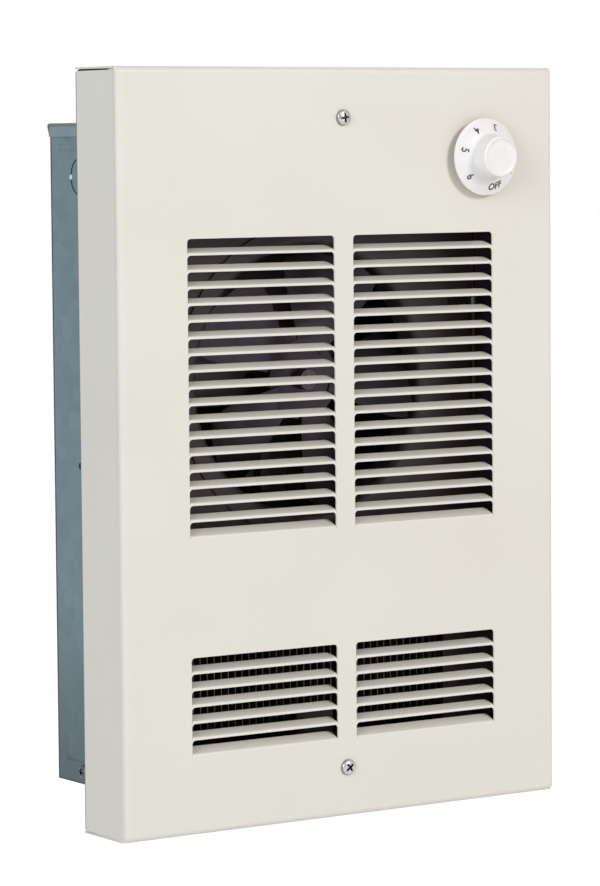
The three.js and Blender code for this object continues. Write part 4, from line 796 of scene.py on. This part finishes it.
def add_cover(copies, paint):
    """The cover's sheet with two columns of louvres in each bank. The last tab of a column leans
    back less than the others."""
    louvre, last_louvre = (template(louvre_cell(rise)) for rise in (TAB_RISE, LAST_TAB_RISE))
    parts = []
    for top, rows in BANKS:
        last = top - PITCH * (rows - 1)
        for middle in (-COLUMN_STEP / 2, COLUMN_STEP / 2):
            for shape, count, level in ((louvre, rows - 1, top), (last_louvre, 1, last)):
                part = grown(
                    "louvres",
                    copies,
                    Shape=shape,
                    Count=count,
                    Start=metres(middle, 0, level),
                    Step=metres(0, 0, -PITCH),
                    Turn=0.0,
                    Material=paint,
                )
                parts.append(part)
    flat = COVER_HALF - FOLD_RADIUS, COVER_TOP - FOLD_RADIUS, COVER_BOTTOM + FOLD_RADIUS
    shell = welded(cover_front(*flat), cover_folds(*flat), corner_tabs())
    cover = new_object("cover", welded(shell, *(part.data for part in parts)))
    for part in parts:
        bpy.data.objects.remove(part)
    sheet_metal(cover, COVER_SHEET, 0.14)
    dress(cover, paint, "root", "cover_paint", "front_cover")


# ------------------------ wall box

BOX_HALF = 127.0
BOX_RIM = 84.0  # from the back to the front rim
BOX_LOW = -195.0
BOX_HIGH = 193.7
BOX_SHEET = 1.0
BOX_FOLD = 1.8
KNOCKOUT_AT = (35.5, 163.5)
KNOCKOUT_RADIUS = 11.1
KNOCKOUT_SLIT = 0.4
KNOCKOUT_PRESS = 0.4
TIE_ANGLE = 8.3  # half of the tie's share of the slit, in degrees
NAIL_HOLE = (32.0, -6.0)
NAIL_RADIUS = 2.2
SIDE_SCREW = (31.0, -187.5)
SCREW_HOLE = 2.4
BEAD_LEVELS = (-180.5, 180.5)
BEAD_AT = 27.0
BEAD_HALF = 17.0
BEAD_WIDTH = 1.9
BEAD_DEPTH = 0.7
BACK_HOLES = (89.0, 149.0)
BACK_HOLE = 2.6


def knockout(u, v, toward):
    """A knockout in a sheet at y 0: its hole, and its pressed disc with the tie that holds it, on
    the side toward an angle in degrees."""
    turns = toward + TIE_ANGLE, toward + 360 - TIE_ANGLE
    hole = arc(u, v, KNOCKOUT_RADIUS, *turns, 40)
    disc = arc(u, v, KNOCKOUT_RADIUS - KNOCKOUT_SLIT, *turns, 40)
    count = len(disc)
    points = [(x, KNOCKOUT_PRESS, z) for x, z in disc]
    points += [(x, 0, z) for x, z in (hole[0], hole[-1])]
    faces = [list(range(count)), [0, count - 1, count + 1, count]]
    return hole, mesh_of("knockout", points, faces)


def bead(u, v):
    """A long groove with round ends, pressed in from y 0: its rim and its surface."""
    run = BEAD_HALF - BEAD_WIDTH
    rings = []
    for i in range(5):
        angle = math.radians(88 * i / 4)
        radius = BEAD_WIDTH * math.cos(angle)
        ends = arc(u + run, v, radius, -90, 90, 8) + arc(u - run, v, radius, 90, 270, 8)
        rings.append((BEAD_DEPTH * math.sin(angle), ends))
    count = len(rings[0][1])
    points = [(x, y, z) for y, ring in rings for x, z in ring]
    faces = []
    for i in range(0, 4 * count, count):
        for j in range(count):
            k = (j + 1) % count
            faces.append([i + j, i + k, i + count + k, i + count + j])
    faces.append(list(range(4 * count, 5 * count)))
    return rings[0][1], mesh_of("bead", points, faces)


def box_half():
    """The box's left side, fold and half its back, as the outer surface."""
    pressed = [knockout(*KNOCKOUT_AT, 180), *(bead(BEAD_AT, level) for level in BEAD_LEVELS)]
    holes = [rim for rim, _ in pressed]
    holes.append(ring_points(NAIL_RADIUS, 24, *NAIL_HOLE))
    holes.append(ring_points(SCREW_HOLE, 24, *SIDE_SCREW))
    outer = [(BOX_FOLD, BOX_LOW), (BOX_RIM, BOX_LOW), (BOX_RIM, BOX_HIGH), (BOX_FOLD, BOX_HIGH)]
    side = welded(flat_sheet("side", 0, outer, holes), *(surface for _, surface in pressed))
    # Seen from the left, u runs from the box's back towards its rim.
    place = Matrix.Translation(metres(-BOX_HALF, 0, 0))
    side.transform(place @ Matrix.Rotation(-math.pi / 2, 4, "Z"))

    flat = BOX_HALF - BOX_FOLD
    x, z = BACK_HOLES
    holes = [ring_points(BACK_HOLE, 24, x, level) for level in (-z, z)]
    outer = [(0, BOX_LOW), (flat, BOX_LOW), (flat, BOX_HIGH), (0, BOX_HIGH)]
    back = flat_sheet("back", 0, outer, holes)
    back.transform(Matrix.Rotation(math.pi, 4, "Z"))

    bend = arc(-flat, -BOX_FOLD, BOX_FOLD, 180, 90, 6)
    points = [(x, y, z) for x, y in bend for z in (BOX_LOW, BOX_HIGH)]
    return welded(side, back, mesh_of("fold", points, strip(6)))


def add_wall_box(zinc):
    half = box_half()
    other = half.copy()
    other.transform(Matrix.Scale(-1, 4, (1, 0, 0)))
    other.flip_normals()
    box = new_object("box_shell", welded(half, other, outward=True))
    sheet_metal(box, BOX_SHEET, 0.12)
    dress(box, zinc, "root", "galvanised_box", "wall_box")


def add_box_pan(name, node, zinc):
    """An end of the box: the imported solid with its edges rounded."""

    def merge(work):
        bmesh.ops.remove_doubles(work, verts=work.verts, dist=0.001 * MM)
        bmesh.ops.dissolve_limit(
            work,
            angle_limit=math.radians(1),
            verts=work.verts,
            edges=work.edges,
            use_dissolve_boundaries=False,
        )

    pan = new_object(name, edited(frame["nodes"][node].data.copy(), merge))
    rounded(pan, 0.12, 50, 40)
    dress(pan, zinc, "root", "galvanised_box", node)


# ------------------------ dial knob

RIM_Y = -126.4
KNOB_RADIUS = 22.9
KNOB_RIM = 1.3
RIM_ROUND = KNOB_RIM / 2
SKIRT_RISE = 5.0
SKIRT_DOME = 0.6
SKIRT_WALL = 1.6
GRIP_BASE = 13.0
GRIP_FRONT = 12.2
GRIP_LENGTH = 10.2
GRIP_EDGE = 1.3
GRIP_FILLET = 0.8
FACE_DROP = 0.8  # of the grip's face behind its edge
FACE_EDGE = 1.7  # width of that edge
BOSS_RADIUS = 6.0
BOSS_GAP = 0.3  # between the boss and the cover
BORE_RADIUS = 3.3
BORE_END = 4.0  # behind the grip's front
RIM_FRONT = RIM_Y - KNOB_RIM
GRIP_START = RIM_FRONT - SKIRT_RISE
SKIRT_EDGE = KNOB_RADIUS - RIM_ROUND

MARK_RADIUS = 17.9
MARK_HEIGHT = 4.2
INK_HEIGHT = 0.04
INK_DEPTH = 0.1
MARKS = (("OFF", -76), ("1", -30), ("2", 22), ("3", 75), ("4", 119), ("5", 167), ("6", 220))


def skirt_y(radius):
    """The front of the skirt at a radius: a cone, slightly domed."""
    share = (SKIRT_EDGE - radius) / (SKIRT_EDGE - GRIP_BASE)
    return RIM_FRONT - SKIRT_RISE * share - SKIRT_DOME * math.sin(math.pi * share)


def add_knob(plastic, ink):
    grip_front = GRIP_START - GRIP_LENGTH

    # Sunken face, round front edge, tapering grip, fillet, skirt, round rim, then the hollow.
    flat = GRIP_FRONT - GRIP_EDGE
    face = GRIP_FRONT - FACE_EDGE
    floor = grip_front + FACE_DROP
    profile = [(face * i / 6, floor) for i in range(6)]
    profile += [(face - 0.25, floor), (face, floor - 0.2), (face + 0.12, grip_front + 0.15)]
    profile += [(face + 0.27, grip_front), (flat, grip_front)]
    quarter = [math.radians(15 * i) for i in range(7)]
    for a in quarter[1:]:
        y = grip_front + GRIP_EDGE * (1 - math.cos(a))
        profile.append((flat + GRIP_EDGE * math.sin(a), y))
    for a in quarter:
        radius = GRIP_BASE + GRIP_FILLET * (1 - math.cos(a))
        profile.append((radius, skirt_y(radius) - GRIP_FILLET * (1 - math.sin(a))))
    start = profile[-1][0]
    skirt = [start + (SKIRT_EDGE - start) * i / 8 for i in range(1, 9)]
    profile += [(radius, skirt_y(radius)) for radius in skirt]
    for a in quarter[1:]:
        y = RIM_FRONT + RIM_ROUND * (1 - math.cos(a))
        profile.append((SKIRT_EDGE + RIM_ROUND * math.sin(a), y))
    profile += [(KNOB_RADIUS, RIM_Y - 0.15), (KNOB_RADIUS - 0.15, RIM_Y)]
    inside = GRIP_BASE - SKIRT_WALL
    profile += [
        (KNOB_RADIUS - SKIRT_WALL, RIM_Y),
        (inside, GRIP_START + SKIRT_WALL),
        (inside, GRIP_START - SKIRT_WALL),
        (BOSS_RADIUS, GRIP_START - SKIRT_WALL),
        (BOSS_RADIUS, FRONT - BOSS_GAP),
        (BORE_RADIUS, FRONT - BOSS_GAP),
        (BORE_RADIUS, grip_front + BORE_END),
        (0, grip_front + BORE_END),
    ]
    knob = new_object("dial_knob", smooth(turned("dial_knob", profile, 128, *DIAL), 40))
    dress(knob, plastic, "knob", "knob_plastic", "control_knob")

    figures = new_object("dial_print", welded(*(dial_mark(*mark) for mark in MARKS)))
    dress(figures, ink, "knob", "knob_plastic")


def dial_mark(text, angle):
    """A printed figure laid on the skirt, its foot outwards and its top towards the grip."""
    curve = bpy.data.curves.new("mark", "FONT")
    curve.body = text
    curve.align_x = "CENTER"
    curve.align_y = "CENTER"
    curve.resolution_u = 4
    curve.offset = 0.03 if text == "OFF" else 0.016

    def lay(work):
        bmesh.ops.remove_doubles(work, verts=work.verts, dist=1e-5)
        bmesh.ops.subdivide_edges(work, edges=work.edges, cuts=1)
        heights = [v.co.y for v in work.verts]
        size = MARK_HEIGHT / (max(heights) - min(heights))
        middle = (max(heights) + min(heights)) / 2
        lifted = bmesh.ops.extrude_face_region(work, geom=work.faces[:])
        top = {v for v in lifted["geom"] if isinstance(v, bmesh.types.BMVert)}
        for vert in work.verts:
            radius = MARK_RADIUS - (vert.co.y - middle) * size
            around = math.radians(angle) + vert.co.x * size / MARK_RADIUS
            x = DIAL[0] + radius * math.cos(around)
            z = DIAL[1] + radius * math.sin(around)
            y = skirt_y(radius) - (INK_HEIGHT if vert in top else -INK_DEPTH)
            vert.co = Vector(metres(x, y, z))
        bmesh.ops.recalc_face_normals(work, faces=work.faces)

    return edited(mesh_from(curve), lay)


# ------------------------ screws


def domed_screw(radius, height, shank, length):
    """A domed screw with a cross recess, its head towards -Y and its underside at y 0."""
    profile = [(0, -height)]
    for a in (math.radians(10 * i) for i in range(1, 10)):
        profile.append((radius * math.sin(a), -HEAD_RIM - (height - HEAD_RIM) * math.cos(a)))
    profile += [(radius, -HEAD_EDGE), (radius - HEAD_EDGE, 0), (shank, 0)]
    profile += [(shank, length - shank), (0, length)]

    # The recess is a cross that narrows towards its floor.
    arm, width, depth = radius * 0.74, radius * 0.17, height * 0.8
    corner, cross = [(arm, -width), (arm, width), (width, width)], []
    for _ in range(4):
        cross += corner
        corner = [(-v, u) for u, v in corner]
    points = [(u, -height - 0.5, v) for u, v in cross]
    points += [(0.5 * u, depth - height, 0.5 * v) for u, v in cross]
    count = len(cross)
    faces = [list(range(count)), list(range(count, 2 * count))]
    for i in range(count):
        j = (i + 1) % count
        faces.append((i, j, j + count, i + count))
    cutter = new_object("cutter", welded(mesh_of("cutter", points, faces), outward=True))
    solid = turned("screw", profile, 48)
    screw = modified(solid, "BOOLEAN", operation="DIFFERENCE", object=cutter)
    bpy.data.objects.remove(cutter)
    return smooth(screw, 30)


def add_cover_screws(copies, plate):
    """The lower screw stands 28 degrees further round than the upper one."""
    mesh = domed_screw(HEAD_RADIUS, HEAD_HEIGHT, shank=2.3, length=12.0)
    mesh.transform(Matrix.Rotation(math.radians(-9), 4, "Y"))
    top, bottom = COVER_SCREWS
    pair = grown(
        "cover_screws",
        copies,
        Shape=template(mesh),
        Count=2,
        Start=metres(0, FRONT - HEAD_GAP, top),
        Step=metres(0, 0, bottom - top),
        Turn=math.radians(-28),
        Material=plate,
    )
    dress(pair, plate, "root", "zinc_plate", "cover_screw_top", "cover_screw_bottom")


def add_side_screws(dull):
    """The two screws of the box's lower end, one on each side."""
    mesh = domed_screw(radius=4.0, height=2.2, shank=2.1, length=8.0)
    mesh.transform(Matrix.Rotation(math.radians(20), 4, "Y"))
    y, z = SIDE_SCREW
    left, right = mesh.copy(), mesh
    for side, screw in ((-1, left), (1, right)):
        place = Matrix.Translation(metres(side * (BOX_HALF + HEAD_GAP), -y, z))
        screw.transform(place @ Matrix.Rotation(side * math.pi / 2, 4, "Z"))
    pair = new_object("side_screws", smooth(welded(left, right), 30))
    dress(pair, dull, "root", "zinc_plate", "side_screw_left", "side_screw_right")


# ------------------------ fan

FAN_Y = -77.0
FAN_Z = 42.075
BLADES = 5
BLADE_SHEET = 1.2
BLADE_ROOT = 19.0
BLADE_TIP = 76.0
BLADE_SWEEP = 24  # half of a blade's angle, in degrees
BLADE_PITCH = 9  # at the root, in degrees
BLADE_TWIST = 16  # from the root to the tip, in degrees
TIP_SHARE = 0.4  # of a blade's length, over which it narrows
TIP_NARROWING = 0.2
TIP_ROUND = 3.0
DISC_RADIUS = 24.0
DISC_BORE = 6.3
RING_FRONT = -86.8
RING_BACK = -68.5
RING_BORE = 79.0
RING_SHEET = 1.0
RING_MOUTH = 5.0
RING_FLANGE = 93.3


def add_fan(copies, sheet):
    """Five twisted blades on a disc, pressed from one aluminium sheet."""
    spans, chords = 18, 20
    points, faces = [], []
    for i in range(spans + 1):
        share = i / spans
        radius = BLADE_ROOT + (BLADE_TIP - BLADE_ROOT) * share
        rise = math.tan(math.radians(BLADE_PITCH + BLADE_TWIST * share))
        near = max(0.0, (share + TIP_SHARE - 1) / TIP_SHARE)
        width = math.radians(BLADE_SWEEP) * (1 - TIP_NARROWING * near * near)
        for j in range(chords + 1):
            across = 2 * j / chords - 1
            angle = width * across
            reach = radius - (TIP_ROUND * abs(across) ** 6 if i == spans else 0)
            lift = radius * angle * rise
            points.append((reach * math.cos(angle), lift, reach * math.sin(angle)))
    for a in range(spans * (chords + 1)):
        if (a + 1) % (chords + 1):
            faces.append((a, a + 1, a + chords + 2, a + chords + 1))
    flat = mesh_of("blade", points, faces)
    blade = modified(flat, "SOLIDIFY", thickness=BLADE_SHEET * MM, offset=0)
    blades = grown(
        "fan_blades",
        copies,
        Shape=template(blade),
        Count=BLADES,
        Start=metres(0, FAN_Y, FAN_Z),
        Step=(0.0, 0.0, 0.0),
        Turn=-2 * math.pi / BLADES,
        Material=sheet,
    )
    near, far = FAN_Y - BLADE_SHEET / 2, FAN_Y + BLADE_SHEET / 2
    profile = [(DISC_BORE, near), (DISC_RADIUS, near), (DISC_RADIUS, far), (DISC_BORE, far)]
    profile.append(profile[0])
    welded(blades.data, turned("disc", profile, 64, 0, FAN_Z))
    smooth(blades.data, 30)
    dress(blades, sheet, "fan", "fan_aluminium", "fan_blade")


def add_fan_ring(enamel):
    """The ring around the fan: a collar that rolls out into a flange on the deck."""
    outer = RING_MOUTH + RING_SHEET
    middle = RING_BORE + outer, RING_FRONT + outer
    profile = [(RING_BORE, RING_BACK), *arc(*middle, outer, 180, 270, 8)]
    profile += [(RING_FLANGE, RING_FRONT), (RING_FLANGE, RING_FRONT + RING_SHEET)]
    profile += arc(*middle, RING_MOUTH, 270, 180, 8)
    profile += [(RING_BORE + RING_SHEET, RING_BACK), profile[0]]
    ring = new_object("fan_shroud", smooth(turned("fan_shroud", profile, 96, 0, FAN_Z), 40))
    dress(ring, enamel, "root", "deck_enamel", "fan_ring")


# ------------------------ heating element

ELEMENT_Y = -67.5
ELEMENT_Z = -140.675
TUBE_RADIUS = 4.0
TUBE_RUNS = 15.0  # half the distance between the tube's two runs
TUBE_START = -107.6
TUBE_BEND = 99.9
FINS = 40
FIN_FIELD = 190.0
FIN_SHEET = 0.5
FIN_DEPTH = 24.0
FIN_HEIGHT = 54.0


def add_element(copies, steel):
    """A sheathed tube that runs out and back through closely set fins."""
    path = [(TUBE_START, ELEMENT_Y, ELEMENT_Z + TUBE_RUNS)]
    bend = arc(0, 0, TUBE_RUNS, 90, -90, 24)
    path += [(TUBE_BEND + u, ELEMENT_Y, ELEMENT_Z + v) for u, v in bend]
    path += [(TUBE_START, ELEMENT_Y, ELEMENT_Z - TUBE_RUNS)]
    curve = bpy.data.curves.new("tube", "CURVE")
    curve.dimensions = "3D"
    curve.bevel_depth = TUBE_RADIUS * MM
    curve.bevel_resolution = 6
    curve.use_fill_caps = True
    spline = curve.splines.new("POLY")
    spline.points.add(len(path) - 1)
    for point, place in zip(spline.points, path):
        point.co = (*metres(*place), 1)

    u, v, half = FIN_DEPTH / 2, FIN_HEIGHT / 2, FIN_SHEET / 2
    loop = [(ELEMENT_Y + y, ELEMENT_Z + z) for y, z in ((-u, -v), (u, -v), (u, v), (-u, v))]
    points = [(x, y, z) for x in (-half, half) for y, z in loop]
    faces = [(3, 2, 1, 0), (4, 5, 6, 7)]
    faces += [(i, (i + 1) % 4, (i + 1) % 4 + 4, i + 4) for i in range(4)]
    fins = grown(
        "heater_fins",
        copies,
        Shape=template(welded(mesh_of("fin", points, faces), outward=True)),
        Count=FINS,
        Start=metres(-FIN_FIELD / 2, 0, 0),
        Step=metres(FIN_FIELD / (FINS - 1), 0, 0),
        Turn=0.0,
        Material=steel,
    )
    welded(fins.data, mesh_from(curve))
    smooth(fins.data, 40)
    dress(fins, steel, "root", "element_steel", "heating_element")


# ------------------------ floor and surround

FLOOR_REACH = 6000
FLOOR_LEVEL = -520
WORLD_LEVEL = 0.35
FLOOR_GLOW = 0.68  # lifts the lit floor to white and leaves its shadows


def seen_directly(tree):
    """1 for what the camera sees itself, in a mirror or through glass, and 0 otherwise."""
    path = add_node(tree, "ShaderNodeLightPath").outputs
    direct = path["Is Camera Ray"]
    for name in ("Is Glossy Ray", "Is Transmission Ray"):
        direct = add_node(
            tree, "ShaderNodeMath", {0: direct, 1: path[name]}, operation="ADD", use_clamp=True
        )
    return direct


def add_stage():
    """A pale floor under the heater and a white surround."""
    corners = [(-1, -1), (1, -1), (1, 1), (-1, 1)]
    points = [(FLOOR_REACH * x, FLOOR_REACH * y, FLOOR_LEVEL) for x, y in corners]
    floor = new_object("floor", mesh_of("floor", points, [(0, 1, 2, 3)]))
    # Matt paper: near white, with soft patches that are barely seen.
    material, tree, place = new_material("pale matt floor")
    cloud = add_node(tree, "ShaderNodeTexNoise", {"Vector": place, "Scale": 1000 / 400})
    tone = add_node(
        tree, "ShaderNodeValToRGB", {"Fac": cloud}, stops=((0.3, "#efefed"), (0.7, "#f4f4f2"))
    )
    matt = add_node(tree, "ShaderNodeBsdfDiffuse", {"Color": tone})
    share = add_node(
        tree, "ShaderNodeMath", {0: seen_directly(tree), 1: FLOOR_GLOW}, operation="MULTIPLY"
    )
    white = (1, 1, 1, 1)
    glow = add_node(tree, "ShaderNodeEmission", {"Color": white, "Strength": share})
    both = add_node(tree, "ShaderNodeAddShader", {0: matt, 1: glow})
    add_node(tree, "ShaderNodeOutputMaterial", {"Surface": both})
    floor.data.materials.append(material)

    world = bpy.data.worlds.new("white studio")
    bpy.context.scene.world = world
    world.use_nodes = True
    tree = world.node_tree
    tree.nodes.clear()
    level = add_node(
        tree,
        "ShaderNodeMapRange",
        {"Value": seen_directly(tree), "To Min": WORLD_LEVEL, "To Max": 1.0},
    )
    sky = add_node(tree, "ShaderNodeBackground", {"Color": white, "Strength": level})
    add_node(tree, "ShaderNodeOutputWorld", {"Surface": sky})


# ------------------------ the heater

add_camera()
add_stage()
add_lamp("key", (1.7, -5.26, 2.34), 1.5, 141)
add_lamp("fill", (-3.36, -1.78, 1.24), 2.4, 58, (0.91, 1.0, 1.11))

paint = baked_enamel()
# Moulded urea: dense white with a soft gloss, and a little light passes into it.
knob_plastic = even_finish(
    "moulded urea plastic",
    ("#f0eae7", "#f4efec"),
    (0.35, 0.46),
    9,
    1.2,
    0.015,
    IOR=1.5,
    Subsurface_Weight=0.4,
    Subsurface_Scale=4 * MM,
    Subsurface_Radius=(1, 0.9, 0.85),
)
# Printing ink: dark grey, matt, and thin enough to follow the plastic's skin.
ink = even_finish("printing ink", ("#343232", "#3e3c3c"), (0.45, 0.56), 9, 0.9, 0.02, IOR=1.5)
finishes = {
    "cover_paint": paint,
    "galvanised_box": galvanised("galvanised box sheet", "#71868e", "#677b83", 9.0),
    # Black stove enamel: nearly black with a warm tinge and a satin skin.
    "deck_enamel": even_finish(
        "black stove enamel", ("#2b2125", "#37292f"), (0.45, 0.56), 30, 1.2, 0.03, IOR=1.5
    ),
    "galvanised_deck": galvanised("galvanised deck sheet", "#6f777b", "#555c60", 7.0),
    "zinc_plate": zinc_plate("bright zinc plate", "#a09d9a", "#c6c3c0"),
    "fan_aluminium": rolled_aluminium(),
    # Turned brass and oil-filled sintered bronze: warm metal with a fine open grain.
    "bearing_bronze": even_finish(
        "sintered bronze", ("#8d6836", "#b88d52"), (0.32, 0.48), 0.9, 0.6, 0.03, Metallic=1.0
    ),
    "dark_steel": laminated_steel(),
    "ground_steel": ground_steel(),
    "coil_tape": coil_tape(),
    # Steel sheath and fins after firing: dark grey with straw and blue temper tints.
    "element_steel": even_finish(
        "heat-tinted steel",
        ("#494c52", "#5f5b55", "#6b5d49"),
        (0.4, 0.6),
        18,
        0.8,
        0.03,
        Metallic=0.9,
    ),
    # Glazed steatite: cream ceramic under a hard, bright glaze.
    "ceramic": even_finish(
        "glazed steatite", ("#e4ddd0", "#f0ebe1"), (0.17, 0.28), 9, 0.9, 0.02, IOR=1.5
    ),
    # Moulded phenolic: near-black with a dull sheen and a faint speckle.
    "phenolic": even_finish(
        "moulded phenolic", ("#1d1a1b", "#2b2728"), (0.37, 0.48), 9, 0.8, 0.03, IOR=1.5
    ),
    "knob_plastic": knob_plastic,
    # Black rubber: matt, and slightly grey where it has aged.
    "black_rubber": even_finish(
        "black rubber", ("#232222", "#302f2f"), (0.7, 0.81), 9, 0.6, 0.04, IOR=1.5
    ),
    # Soft copper tube gone dark in the warm air, with paler, smoother rubbed places.
    "copper": even_finish(
        "drawn copper", ("#2b2422", "#362c29"), (0.6, 0.42), 7, 0.6, 0.02, Metallic=1.0
    ),
    # Green passivate: a thin green film through which the zinc still shines.
    "green_screw": even_finish(
        "green passivate",
        ("#2f6b3a", "#4c8d57"),
        (0.3, 0.41),
        3,
        0.9,
        0.02,
        Metallic=0.6,
    ),
    "black_wire": braided_sleeve("black braided sleeve", "#17161a", "#2c2a30"),
    "red_wire": braided_sleeve("red braided sleeve", "#8a2c22", "#b3483b"),
}

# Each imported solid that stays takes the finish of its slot.
for entry in frame["record"]["subparts"]:
    for slot in frame["nodes"][entry["node"]].material_slots:
        slot.material = finishes[entry["material_slot"]]

zinc = finishes["galvanised_box"]
copies = copies_tree()
add_cover(copies, paint)
add_knob(knob_plastic, ink)
add_wall_box(zinc)
add_box_pan("box_top_pan", "box_top_end", zinc)
add_box_pan("box_bottom_pan", "box_bottom_end", zinc)
add_cover_screws(copies, finishes["zinc_plate"])
add_side_screws(zinc_plate("dull zinc plate", "#525b60", "#646c71"))
add_fan(copies, finishes["fan_aluminium"])
add_fan_ring(finishes["deck_enamel"])
add_element(copies, finishes["element_steel"])

bpy.context.scene.view_settings.view_transform = "Standard"
